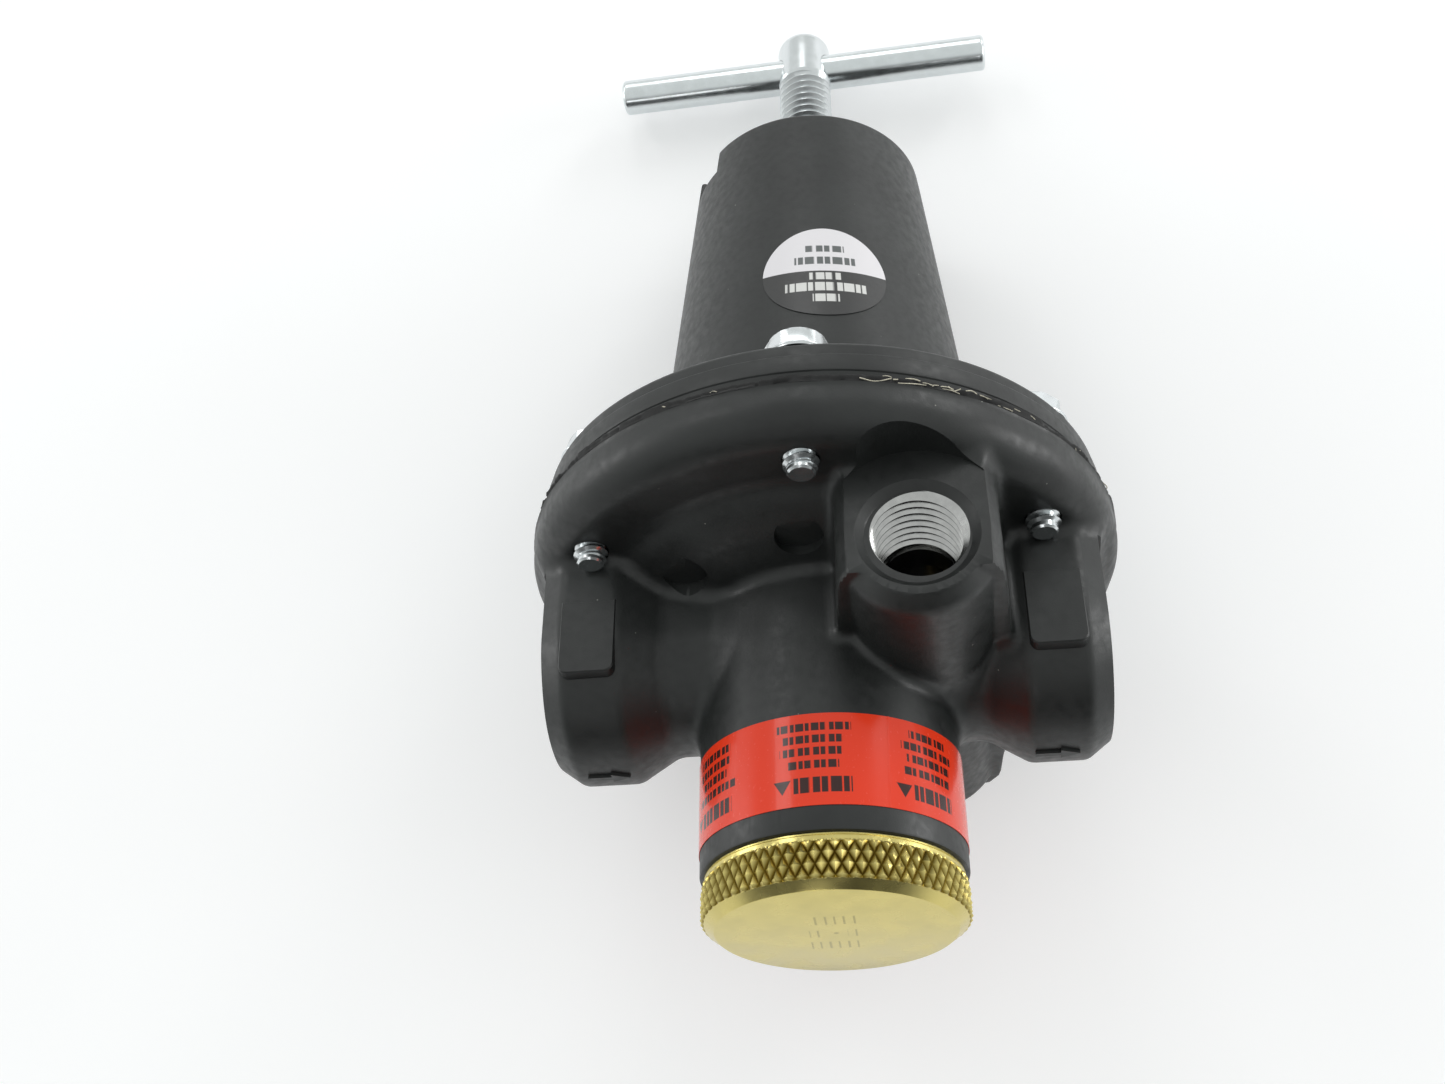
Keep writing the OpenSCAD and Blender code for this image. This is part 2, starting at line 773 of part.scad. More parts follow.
// Round label lying on the bell's cone
module round_label() {
    low_z = round_label_z - round_label_r - 1;
    high_z = round_label_z + round_label_r + 1;
    color([0.85, 0.85, 0.85])
        intersection() {
            rotate_extrude()
                polygon([[bell_r(low_z) + round_label_lift, low_z],
                    [bell_r(low_z) + round_label_lift + label_t, low_z],
                    [bell_r(high_z) + round_label_lift + label_t, high_z],
                    [bell_r(high_z) + round_label_lift, high_z]]);
            rotate([0, 0, round_label_angle])
                translate([0, 0, round_label_z])
                    rotate([0, 90, 0])
                        cylinder(r = round_label_r, h = 2 * bell_base_r);
        }
}

body();
bonnet();
bonnet_screws();
diaphragm();
upper_diaphragm_plate();
lower_diaphragm_plate();
relief_hub();
hub_nut();
range_spring();
spring_button();
adjusting_screw();
t_bar();
valve_seat();
valve_disc();
valve_poppet();
valve_stem();
valve_spring();
stem_guide();
aspirator_tube();
bottom_plug();
plug_o_ring();
stem_o_ring();
neck_label();
round_label();
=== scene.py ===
import json
import math

import bmesh
import bpy
import numpy as np
from mathutils import Matrix, Vector


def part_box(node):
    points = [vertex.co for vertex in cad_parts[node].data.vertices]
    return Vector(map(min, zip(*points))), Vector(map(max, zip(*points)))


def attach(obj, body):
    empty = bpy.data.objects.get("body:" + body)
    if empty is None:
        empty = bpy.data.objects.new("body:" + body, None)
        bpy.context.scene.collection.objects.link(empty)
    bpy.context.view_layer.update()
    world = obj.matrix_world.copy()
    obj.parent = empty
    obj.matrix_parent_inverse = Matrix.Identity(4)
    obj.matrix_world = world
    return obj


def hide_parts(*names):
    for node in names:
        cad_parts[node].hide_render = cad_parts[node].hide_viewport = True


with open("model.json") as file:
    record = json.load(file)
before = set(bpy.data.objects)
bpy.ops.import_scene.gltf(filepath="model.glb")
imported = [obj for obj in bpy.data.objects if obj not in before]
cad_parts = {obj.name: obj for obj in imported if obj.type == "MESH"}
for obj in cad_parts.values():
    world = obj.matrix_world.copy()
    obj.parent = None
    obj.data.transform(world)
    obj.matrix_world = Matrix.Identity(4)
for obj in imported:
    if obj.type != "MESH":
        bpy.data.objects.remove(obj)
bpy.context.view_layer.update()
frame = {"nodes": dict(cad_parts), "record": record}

# Every shape below is worked out in millimetres, in the frame's own axes: +Z runs up the
# adjusting screw, +X runs from the inlet to the outlet. MM turns it into metres.
MM = 0.001
FULL_TURN = 2 * math.pi
UP = (0, 0, 1)


def box_mm(node):
    """Lowest and highest corner of a CAD node, in millimetres."""
    low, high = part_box(node)
    return Vector(low) / MM, Vector(high) / MM


# ------------------------------------------------------------------ sizes from the frame

BODY_LOW, BODY_HIGH = box_mm("body")
BONNET_LOW, BONNET_HIGH = box_mm("bonnet")
SCREWS_LOW, SCREWS_HIGH = box_mm("bonnet_screws")
ADJUSTER_LOW, ADJUSTER_HIGH = box_mm("adjusting_screw")
BAND_LOW, BAND_HIGH = box_mm("neck_label")
BAR_LOW, BAR_HIGH = box_mm("t_bar")
MOUNTS = {m["name"]: m for m in frame["record"]["mounts"]}

FLANGE_R = BODY_HIGH.y
NECK_LOW_Z = BODY_LOW.z
SEAM_Z = BODY_HIGH.z
BONNET_Z = BONNET_LOW.z
BELL_TOP_Z = BONNET_HIGH.z
PLUG_R = box_mm("bottom_plug")[1].y
BAR_Z = (BAR_LOW.z + BAR_HIGH.z) / 2
BAR_R = (BAR_HIGH.z - BAR_LOW.z) / 2
PORT_Z = MOUNTS["inlet"]["pos_m"][2] / MM
GAUGE_X = MOUNTS["gauge_port_front"]["pos_m"][0] / MM
MAIN_PORT_R = MOUNTS["inlet"]["dims"]["r_mm"]
GAUGE_PORT_R = MOUNTS["gauge_port_front"]["dims"]["r_mm"]

# ------------------------------------------------------------------ the design's other sizes

NECK_R = 17.9
DISH_IN_Z = 45.0
DISH_EDGE_R = 27.0
DISH_EDGE_Z = 46.8
RING_IN_R = 31.8
RING_Z = 50.0
MARK_R = 3.35
MARK_Z = 46.9
MARK_PLACES = ((-1.5, -23.8), (-18.3, -16.1))
RIM_ROUND = 5.0
ROOF_Z = 54.0
CAST_LOW_Z = 14.6

PORT_FACE_X = 38.6
BOSS_R = 15.83
BOSS_STRAIGHT_X = 27.7
BOSS_CHAMFER_X = 3.1
BOSS_CHAMFER_R = 2.25
BOSS_WAIST_X = 21.9
BOSS_WAIST_R = 12.4
PAD_PROUD = 0.1
PAD_IN_X = 27.8
PAD_LOW_Z = 32.2
PAD_HIGH_Z = 43.3
PAD_ROUND = 1.2
ARROW_MID_X = 31.0
ARROW_LENGTH = 6.0
ARROW_PROUD = 0.45

GAUGE_FACE_Y = 33.1
GAUGE_BOSS_R = 10.5
GAUGE_CHAMFER_Y = 2.6
GAUGE_CHAMFER_R = 1.45
GAUGE_BLOCK_LOW_Z = 34.3
GAUGE_DRAFT = 0.9
GAUGE_SPOT_R = 12.35
GAUGE_DRILL_R = 5.2

# Depth, length of the lead-in and pitch of the two kinds of tapped port, and their taper.
MAIN_TAP = (17.0, 1.0, 1.8143)
GAUGE_TAP = (12.6, 1.14, 1.4111)
PIPE_TAPER = 1 / 32

FLANGE_TOP_Z = BONNET_Z + 6.8
BELL_BASE_R = 25.6
BELL_TOP_R = 18.98
BELL_ROUND = 0.9
BELL_SLOPE = (BELL_BASE_R - BELL_TOP_R) / (BELL_TOP_Z - FLANGE_TOP_Z)
NOTCH_AZIMUTH = math.radians(-150)

SCREW_CIRCLE_R = 36.0
SCREW_AZIMUTHS = [math.radians(30 + 60 * i) for i in range(6)]
SCREW_R = 2.4
SCREW_PITCH = 1.058
TAPPED_R = 2.65
BAR_AZIMUTH = math.radians(-1.6)
BAR_WAY = (math.cos(BAR_AZIMUTH), math.sin(BAR_AZIMUTH), 0)
BAR_SHIFT = -0.5
BAR_HALF = 33.6
HEAD_BASE_Z = 159.5
ADJUSTER_R = 4.7
ADJUSTER_PITCH = 1.5875

KNURL_COUNT = 65
KNURL_WIDTH = FULL_TURN * PLUG_R / KNURL_COUNT
KNURL_HEIGHT = 1.732 * KNURL_WIDTH
KNURL_SHARE = 8
KNURL_ROWS = 13
KNURL_LOW = 1.13
KNURL_HIGH = KNURL_LOW + KNURL_ROWS * KNURL_HEIGHT / KNURL_SHARE
KNURL_DEPTH = 0.66

LABEL_R = 9.5
LABEL_AZIMUTH = math.radians(-81.3)

CAST_STEP = 0.5


# ------------------------------------------------------------------ camera

CAMERA_ANGLES = [math.radians(a) for a in (32.614, -7.9496, 0.186)]
CAMERA_PLACE = Vector((0.0126836, -0.1991207, -0.0670058))
SENSOR_MM = 36.0
LENS_MM = 39.035


def look_axes(pitch, yaw, roll):
    """Right, up and forward of a camera that looks up by pitch and aside by yaw."""
    forward = Vector((math.sin(yaw) * math.cos(pitch), math.cos(yaw) * math.cos(pitch), math.sin(pitch)))
    right = forward.cross(Vector((0, 0, 1))).normalized()
    up = right.cross(forward)
    turned = math.cos(roll) * right + math.sin(roll) * up
    return turned, turned.cross(forward), forward


def make_camera():
    """The camera stands below the front, so it sees the underside: the part lies on its back."""
    data = bpy.data.cameras.new("camera")
    camera = bpy.data.objects.new("camera", data)
    bpy.context.scene.collection.objects.link(camera)
    right, up, forward = look_axes(*CAMERA_ANGLES)
    axes = Matrix((right, up, -forward)).transposed().to_4x4()
    axes.translation = CAMERA_PLACE
    camera.matrix_world = axes
    data.sensor_width = SENSOR_MM
    data.lens = LENS_MM
    data.clip_start = 0.01
    data.clip_end = 20.0
    bpy.context.scene.camera = camera


# ------------------------------------------------------------------ mesh helpers


def polar(r, a, *height):
    """The point at radius r and angle a about Z, with its height if one is given."""
    return (r * math.cos(a), r * math.sin(a), *height)


def arc(cx, cy, r, start, end, steps):
    """Points of a circular arc, with its angles in degrees."""
    turns = [math.radians(start + (end - start) * i / steps) for i in range(steps + 1)]
    return [(cx + r * math.cos(a), cy + r * math.sin(a)) for a in turns]


def mesh_of(name, points, faces):
    """A mesh from points in millimetres."""
    mesh = bpy.data.meshes.new(name)
    mesh.from_pydata(np.asarray(points, float) * MM, [], faces)
    mesh.validate()
    return mesh


def tidy_mesh(mesh, merge):
    """Welds points closer than merge millimetres, drops collapsed faces and turns all outwards."""
    shape = bmesh.new()
    shape.from_mesh(mesh)
    bmesh.ops.remove_doubles(shape, verts=shape.verts, dist=merge * MM)
    bmesh.ops.dissolve_degenerate(shape, edges=shape.edges, dist=merge * MM / 4)
    bmesh.ops.recalc_face_normals(shape, faces=shape.faces)
    shape.to_mesh(mesh)
    shape.free()
    return mesh


def add_object(name, mesh, material):
    """Links a mesh as an object of one material."""
    mesh.materials.append(material)
    thing = bpy.data.objects.new(name, mesh)
    bpy.context.scene.collection.objects.link(thing)
    return thing


def piece(thing, body, slot, *nodes, angle):
    """Finishes a piece: smooth shading that breaks at edges sharper than angle degrees, the body
    that it rides on and the nodes it stands for, which it hides. The slot is not used."""
    mesh = thing.data
    mesh.polygons.foreach_set("use_smooth", [True] * len(mesh.polygons))
    mesh.set_sharp_from_angle(angle=math.radians(angle))
    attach(thing, body)
    if nodes:
        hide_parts(*nodes)


def lathe(profile, segments, closed=False):
    """Points and faces of a profile of (radius, height) turned about Z. A closed one makes a ring."""
    points, rings = [], []
    for r, z in profile:
        count = 1 if r < 1e-9 else segments
        rings.append([len(points) + i % count for i in range(segments + 1)])
        points += [polar(r, FULL_TURN * i / segments, z) for i in range(count)]
    pairs = list(zip(rings, rings[1:] + rings[:1]))
    faces = []
    for low, high in pairs if closed else pairs[:-1]:
        for i in range(segments):
            face = tuple(dict.fromkeys((low[i], low[i + 1], high[i + 1], high[i])))
            if len(face) > 2:
                faces.append(face)
    return points, faces


def between(low, high, count):
    """Quads between two rings of points, the first of which are at low and at high in the list."""
    return [(low + i, low + (i + 1) % count, high + (i + 1) % count, high + i) for i in range(count)]


def prism(outline, low, high):
    """Points and faces of an outline of (a, b) pairs, extruded from low to high along Z."""
    n = len(outline)
    points = [(a, b, low) for a, b in outline] + [(a, b, high) for a, b in outline]
    return points, [tuple(range(n - 1, -1, -1)), tuple(range(n, 2 * n))] + between(0, n, n)


def cylinder(r, low, high, segments=96):
    """Points and faces of a plain cylinder along Z, used to cut with."""
    return lathe([(0, low), (r, low), (r, high), (0, high)], segments)


def placed(shape, matrix):
    """The shape with its points moved by a matrix."""
    points, faces = shape
    return [tuple(matrix @ Vector(p)) for p in points], faces


def along(axis, origin):
    """A matrix that stands a shape's Z along another axis, at a point."""
    turn = Vector(UP).rotation_difference(Vector(axis))
    return Matrix.Translation(origin) @ turn.to_matrix().to_4x4()


def thread(low, high, pitch, profile, segments, limit):
    """Points and faces of a screw thread about Z, closed at both ends. The profile is (share of the
    pitch, radius) pairs, and limit(height, radius) gives each point its radius."""
    shares = [s for s, _ in profile]
    first = math.floor(low / pitch) - 2
    turns = math.ceil(high / pitch) + 1 - first
    wave_x = np.array(shares + [1 + shares[0]])
    wave_r = np.array([r for _, r in profile] + [profile[0][1]])
    heights = np.array([(first + k + s) * pitch for k in range(turns) for s in shares])
    rows, step = len(heights), len(shares)
    points, faces = [], []
    for i in range(segments):
        share = i / segments
        z = np.clip(heights + share * pitch, low, high)
        phase = (z / pitch - share - shares[0]) % 1.0 + shares[0]
        r = limit(z, np.interp(phase, wave_x, wave_r))
        points += [polar(a, FULL_TURN * share, b) for a, b in zip(r, z)]
        shift = step if i == segments - 1 else 0
        here, there = i * rows, (i + 1) % segments * rows
        faces += [(here + j, there + j + shift, there + j + shift + 1, here + j + 1)
                  for j in range(rows - 1 - shift)]
    points += [(0, 0, low), (0, 0, high)]
    for i in range(segments):
        here, there = i * rows, (i + 1) % segments * rows
        faces.append((there, here, len(points) - 2))
        faces.append((here + rows - 1, there + rows - 1, len(points) - 1))
    return points, faces


def solid(name, shape, material, merge=0.002):
    """An object made from a shape, welded and turned outwards."""
    return add_object(name, tidy_mesh(mesh_of(name, *shape), merge), material)


def combine(target, tool, operation):
    """Applies a boolean with another object, which is then removed."""
    change = target.modifiers.new("combine", "BOOLEAN")
    change.operation = operation
    change.object = tool
    change.solver = "MANIFOLD"
    change.material_mode = "TRANSFER"
    bpy.context.view_layer.update()
    graph = bpy.context.evaluated_depsgraph_get()
    result = bpy.data.meshes.new_from_object(target.evaluated_get(graph), depsgraph=graph)
    target.modifiers.remove(change)
    old = target.data
    target.data = result
    bpy.data.meshes.remove(old)
    bpy.data.meshes.remove(tool.data)
    return target


def carve(target, shape, material, operation="DIFFERENCE", merge=0.002):
    """Applies a boolean with a shape, whose faces bring their own material."""
    return combine(target, solid("tool", shape, material, merge), operation)


def merged(name, shapes, material):
    """One tool that is the union of several shapes."""
    whole = solid(name, shapes[0], material)
    for shape in shapes[1:]:
        carve(whole, shape, material, "UNION")
    return whole


def tube_along(path, r, sides):
    """Points and faces of a thin tube along a list of points, with closed ends."""
    path = [Vector(p) for p in path]
    last = len(path) - 1
    points, faces = [], []
    for i, p in enumerate(path):
        way = (path[min(i + 1, last)] - path[max(i - 1, 0)]).normalized()
        across = way.orthogonal().normalized()
        other = way.cross(across)
        for j in range(sides):
            a = FULL_TURN * j / sides
            points.append(tuple(p + r * (math.cos(a) * across + math.sin(a) * other)))
        if i < last:
            faces += between(i * sides, (i + 1) * sides, sides)
    faces.append(tuple(range(sides - 1, -1, -1)))
    faces.append(tuple(range(last * sides, len(path) * sides)))
    return points, faces


def about_z(points):
    """Points as an array, and their radii and angles about Z."""
    points = np.array(points)
    return points, np.hypot(points[:, 0], points[:, 1]), np.arctan2(points[:, 1], points[:, 0])


# ------------------------------------------------------------------ materials


def is_socket(value):
    """Whether a value is a node's socket rather than a constant."""
    return isinstance(value, bpy.types.NodeSocket)


def add_node(tree, kind, values=None, **settings):
    """Adds a node. A value that is a socket is linked, and any other is set."""
    made = tree.nodes.new(kind)
    for key, value in settings.items():
        setattr(made, key, value)
    for key, value in (values or {}).items():
        if is_socket(value):
            tree.links.new(value, made.inputs[key])
        else:
            made.inputs[key].default_value = value
    return made


class Finish:
    """A material with one Principled shader, its maps built from nodes on object coordinates."""

    def __init__(self, name, colour, **sockets):
        self.material = bpy.data.materials.new(name)
        self.material.use_nodes = True
        self.tree = self.material.node_tree
        self.shader = self.tree.nodes["Principled BSDF"]
        self.shader.inputs["Base Color"].default_value = (*colour, 1)
        for key, value in sockets.items():
            self.shader.inputs[key.replace("_", " ")].default_value = value
        self.place = self.node("ShaderNodeTexCoord").outputs["Object"]

    def node(self, kind, values=None, **settings):
        """Adds a node to this material."""
        return add_node(self.tree, kind, values, **settings)

    def math(self, operation, *values):
        """The result of a Math node."""
        return self.node("ShaderNodeMath", dict(enumerate(values)), operation=operation).outputs[0]

    def noise(self, size_mm, detail=2.0, roughness=0.5, stretch=None):
        """Noise whose features are about size_mm across."""
        place = self.place
        if stretch:
            place = self.node("ShaderNodeMapping", {"Vector": place, "Scale": stretch}).outputs[0]
        values = {"Vector": place, "Scale": 1 / (size_mm * MM), "Detail": detail, "Roughness": roughness}
        return self.node("ShaderNodeTexNoise", values).outputs[0]

    def ramp(self, value, low, high, to_low=0.0, to_high=1.0):
        """Maps a range of a value on to another, clamped."""
        values = {0: value, 1: low, 2: high, 3: to_low, 4: to_high}
        return self.node("ShaderNodeMapRange", values).outputs[0]

    def blend(self, share, first, second):
        """A colour between two, each a colour or a socket."""
        first, second = (c if is_socket(c) else (*c, 1) for c in (first, second))
        return self.node("ShaderNodeMix", {0: share, 6: first, 7: second}, data_type="RGBA").outputs[2]

    def set(self, socket, value):
        """Links a socket of the shader."""
        self.tree.links.new(value, self.shader.inputs[socket])

    def bump(self, *layers):
        """Stacks bump layers, each (height, strength, distance in millimetres)."""
        normal = None
        for height, strength, distance in layers:
            values = {"Height": height, "Strength": strength, "Distance": distance * MM}
            if normal is not None:
                values["Normal"] = normal
            normal = self.node("ShaderNodeBump", values).outputs[0]
        self.set("Normal", normal)


def scaled(colour, factor):
    """A colour made lighter or darker."""
    return tuple(min(1.0, c * factor) for c in colour)


def black_casting(name, colour, roughness):
    """Semi-matt black coating over a casting: fine grain, a soft orange peel and a few dust specks."""
    finish = Finish(name, colour, Roughness=roughness)
    grain, peel, patches = finish.noise(0.28, 3.0, 0.65), finish.noise(1.3), finish.noise(11, 3.0, 0.55)
    specks = finish.node("ShaderNodeTexVoronoi", {"Vector": finish.place, "Scale": 1 / (4.2 * MM)})
    dust = finish.ramp(specks.outputs["Distance"], 0.016, 0.03, 1.0, 0.0)
    tone = finish.blend(finish.ramp(patches, 0.35, 0.7), scaled(colour, 0.75), scaled(colour, 1.35))
    finish.set("Base Color", finish.blend(dust, tone, (0.20, 0.20, 0.18)))
    finish.set("Roughness", finish.ramp(peel, 0.3, 0.7, roughness - 0.06, roughness + 0.08))
    finish.bump((peel, 0.12, 0.04), (grain, 0.35, 0.035))
    return finish.material


def mottled(name, colour, sockets, clouds, grain, tones, gloss, bump, fine_gloss=False):
    """A surface of patchy tone over a fine grain. The clouds and the grain are sizes for noise, tones
    the clouds' range and the factors of the colour at its ends, gloss the range and the roughness at
    its ends, read from the grain if fine_gloss, and bump the grain's strength and height."""
    finish = Finish(name, colour, **sockets)
    clouds, grain = finish.noise(*clouds), finish.noise(*grain)
    low, high, darker, lighter = tones
    tone = finish.blend(finish.ramp(clouds, low, high), scaled(colour, darker), scaled(colour, lighter))
    finish.set("Base Color", tone)
    if gloss:
        finish.set("Roughness", finish.ramp(grain if fine_gloss else clouds, *gloss))
    finish.bump((grain, *bump))
    return finish.material


def plated_steel(name, colour, roughness, scratch=0.12):
    """Bright plate: cloudy tone, faint scratches and slight unevenness."""
    sockets = {"Metallic": 1.0, "Roughness": roughness}
    gloss = (0.3, 0.75, roughness - 0.03, roughness + 0.05)
    return mottled(name, colour, sockets, (2.2, 3.0, 0.6), (0.35, 2.0, 0.6), (0.35, 0.7, 0.93, 1.0),
                   gloss, (scratch, 0.012))


def turned_metal(name, colour, roughness, ring_mm=0.16, knurl=None):
    """Metal with the fine rings that a lathe leaves around Z, lightly tarnished. A knurl is given as its
    inner and outer radius and its low and high edge, and gets painted shade in its grooves."""
    finish = Finish(name, colour, Metallic=1.0, Roughness=roughness)
    rings = {"Vector": finish.place, "Scale": 1 / (ring_mm * MM * 20), "Distortion": 0.4, "Detail": 1.0}
    rings = finish.node("ShaderNodeTexWave", rings, wave_type="RINGS", rings_direction="Z").outputs[0]
    cloud, spots = finish.noise(5.0), finish.noise(0.5, 3.0, 0.7)
    tone = finish.blend(finish.ramp(cloud, 0.3, 0.7), scaled(colour, 0.88), scaled(colour, 1.04))
    tone = finish.blend(finish.ramp(spots, 0.62, 0.75, 0.0, 0.25), tone, scaled(colour, 0.6))
    # The knurl's grooves get painted shade, a darker brown towards their bottom.
    if knurl:
        tone = knurl_shade_and_stamp(finish, tone, colour, *knurl)
    finish.set("Base Color", tone)
    finish.set("Roughness", finish.ramp(cloud, 0.3, 0.7, roughness - 0.04, roughness + 0.06))
    finish.bump((rings, 0.2, 0.008), (spots, 0.06, 0.008))
    return finish.material


def knurl_shade_and_stamp(finish, tone, colour, inner, outer, low, high):
    """Paints shade into a knurl's grooves as a dark brown, and a faint stamp of generic strokes on the face
    below it.
    """
    parts = finish.node("ShaderNodeSeparateXYZ", {0: finish.place}).outputs
    squares = [finish.math("MULTIPLY", parts[k], parts[k]) for k in ("X", "Y")]
    radius = finish.math("SQRT", finish.math("ADD", *squares))
    across, down, up = (finish.math("DIVIDE", parts[k], MM) for k in ("X", "Y", "Z"))
    # Painted shade: the tone goes to a dark brown deep in the knurl's grooves, standing in for the shade in
    # its pits.
    groove_shade = finish.ramp(radius, (inner + 0.1) * MM, (outer - 0.12) * MM, 1.0, 0.0)
    groove_shade = finish.math("MULTIPLY", groove_shade, inside_band(finish, up, low, high))
    tone = finish.blend(groove_shade, tone, (0.15, 0.10, 0.012))
    rows = [(-6.4, -3.4, -3.4, 3.5), (-1.2, 1.4, -3.5, -1.6), (-1.2, 1.4, 1.5, 3.5), (3.3, 6.0, -3.6, 3.4)]
    strokes = [dashes(finish, across, down, *row, 0.28, 0.95, n) for n, row in enumerate(rows)]
    strokes.append(finish.ramp(radius, 0.25 * MM, 0.4 * MM, 1.0, 0.0))
    stamp = finish.math("MULTIPLY", any_of(finish, strokes), finish.ramp(up, 0.02, 0.05, 1.0, 0.0))
    return finish.blend(finish.math("MULTIPLY", stamp, 0.55), tone, scaled(colour, 0.35))


def bare_thread_metal():
    """Freshly tapped casting alloy: bright, with fine tool marks along the thread."""
    return mottled("tapped_alloy", (0.52, 0.52, 0.51), {"Metallic": 1.0, "Roughness": 0.2}, (1.5,),
                   (0.3, 3.0, 0.65), (0.35, 0.7, 0.85, 1.0), (0.3, 0.7, 0.12, 0.22), (0.10, 0.012), True)


def rubber(name, colour, roughness):
    """Matt rubber with a slightly torn, dusty surface."""
    gloss = (0.3, 0.7, roughness - 0.12, roughness + 0.1)
    return mottled(name, colour, {"Roughness": roughness}, (2.5, 3.0, 0.6), (0.3, 4.0, 0.7),
                   (0.4, 0.7, 0.7, 1.6), gloss, (0.5, 0.06))


def moulded_plastic(name, colour, roughness=0.45):
    """Moulded plastic with a faint grain."""
    gloss = (0.3, 0.7, roughness - 0.06, roughness + 0.06)
    return mottled(name, colour, {"Roughness": roughness}, (5.0,), (0.4, 3.0, 0.6),
                   (0.3, 0.7, 0.9, 1.0), gloss, (0.2, 0.02), True)


def fibre():
    """Undyed cord from the diaphragm's fabric."""
    grain = (0.2, 3.0, 0.7)
    return mottled("cord_fibre", (0.62, 0.58, 0.47), {"Roughness": 0.8}, grain, grain,
                   (0.3, 0.7, 0.6, 1.2), None, (0.6, 0.05))


def inside_band(finish, value, low, high, soft=0.04):
    """1 where a value lies between two others, with soft edges."""
    rise = finish.ramp(value, low - soft, low + soft)
    fall = finish.ramp(value, high - soft, high + soft, 1.0, 0.0)
    return finish.math("MULTIPLY", rise, fall)


def any_of(finish, masks):
    """The largest of several masks."""
    total = masks[0]
    for mask in masks[1:]:
        total = finish.math("MAXIMUM", total, mask)
    return total


def dashes(finish, along_mm, across_mm, low, high, left, right, dash, gap, seed):
    """A row of dashes of uneven length that stands for a line of print."""
    row = inside_band(finish, across_mm, low, high)
    span = inside_band(finish, along_mm, left, right)
    wobble = finish.math("SINE", finish.math("MULTIPLY", along_mm, 1.7 + 0.31 * seed))
    moved = finish.math("ADD", along_mm, finish.math("MULTIPLY", wobble, dash * 0.22))
    phase = finish.math("FRACT", finish.math("DIVIDE", moved, dash + gap))
    mark = inside_band(finish, phase, 0.0, dash / (dash + gap), 0.05)
    return finish.math("MULTIPLY", row, finish.math("MULTIPLY", span, mark))


def around_and_up(finish, radius):
    """Two sockets in millimetres: distance round a cylinder of that radius from -Y, and height."""
    parts = finish.node("ShaderNodeSeparateXYZ", {0: finish.place})
    angle = finish.math("ARCTAN2", parts.outputs["X"], finish.math("MULTIPLY", parts.outputs["Y"], -1.0))
    return finish.math("MULTIPLY", angle, radius), finish.math("DIVIDE", parts.outputs["Z"], MM)


def band_label_finish():
    """Glossy orange film with dark generic print: bold dashes, thin dashes and triangles."""
    orange, ink = (0.74, 0.040, 0.010), (0.035, 0.012, 0.010)
    finish = Finish("band_film", orange, Roughness=0.34, Specular_IOR_Level=0.25, Coat_Weight=0.22,
                    Coat_Roughness=0.05)
    around, up = around_and_up(finish, BAND_HIGH.x)
    blocks = [(-17.4, 5.9, 4.3), (-1.0, 5.2, 4.9), (15.4, 5.6, 4.2)]
    rows = [15.3, 17.1, 18.8, 20.5]
    ends = [(-4.7, 5.0), (-3.4, 3.3), (-4.4, 3.9), (-3.9, 4.1)]
    bold_low, bold_high, wedge_high, row_height = 12.0, 14.1, 13.9, 1.1
    masks = []
    for n, (centre, to_left, to_right) in enumerate(blocks):
        left, right = centre - to_left, centre + to_right
        masks.append(dashes(finish, around, up, bold_low, bold_high, left + 2.6, right, 1.05, 0.26, n))
        for k, z in enumerate(rows):
            a, b = ends[(k + n) % len(ends)]
            row = (z, z + row_height, centre + a, centre + b)
            masks.append(dashes(finish, around, up, *row, 0.78, 0.24, k + 3 * n))
        aside = finish.math("ABSOLUTE", finish.math("SUBTRACT", around, left + 1.1))
        width = finish.math("MULTIPLY", finish.math("SUBTRACT", up, bold_low), 0.62)
        wedge = finish.ramp(finish.math("SUBTRACT", width, aside), -0.03, 0.06)
        masks.append(finish.math("MULTIPLY", wedge, inside_band(finish, up, bold_low, wedge_high)))
    finish.set("Base Color", finish.blend(any_of(finish, masks), orange, ink))
    wrinkles, fine = finish.noise(6.0, stretch=(1, 1, 0.5)), finish.noise(0.5)
    finish.set("Roughness", finish.ramp(fine, 0.3, 0.7, 0.18, 0.28))
    finish.bump((wrinkles, 0.12, 0.15), (fine, 0.05, 0.01))
    return finish.material


def round_label_finish(centre_z):
    """Satin film, pale above and black below, with generic dashes in place of print."""
    pale, dark, edge = (0.70, 0.68, 0.70), (0.018, 0.018, 0.018), 0.04
    finish = Finish("round_film", pale, Roughness=0.38, Coat_Weight=0.3, Coat_Roughness=0.2)
    radius = bell_radius(centre_z)
    around, up = around_and_up(finish, radius)
    across = finish.math("SUBTRACT", around, radius * (LABEL_AZIMUTH + math.pi / 2))
    height = finish.math("SUBTRACT", up, centre_z)
    grey_rows = [(1.5, 3.1, -4.6, 4.7), (4.2, 5.6, -2.9, 3.1)]
    white_rows = [(-1.9, -0.4, -2.4, 2.3), (-4.3, -2.5, -6.0, 6.0), (-6.6, -5.0, -2.0, 1.9)]
    grey = [dashes(finish, across, height, *row, 1.1, 0.3, n) for n, row in enumerate(grey_rows)]
    white = [dashes(finish, across, height, *row, 1.15, 0.25, n + 2) for n, row in enumerate(white_rows)]
    top = finish.blend(any_of(finish, grey), pale, (0.09, 0.10, 0.10))
    bottom = finish.blend(any_of(finish, white), dark, (0.62, 0.62, 0.60))
    finish.set("Base Color", finish.blend(finish.ramp(height, -edge, edge), bottom, top))
    fine = finish.noise(0.6)
    finish.set("Roughness", finish.ramp(fine, 0.3, 0.7, 0.34, 0.46))
    finish.bump((fine, 0.08, 0.02))
    return finish.material


# ------------------------------------------------------------------ body casting


def union_round(a, b, r):
    """Union of two distance fields, with a fillet of radius r between them."""
    return np.maximum(r, np.minimum(a, b)) - np.hypot(np.maximum(r - a, 0), np.maximum(r - b, 0))


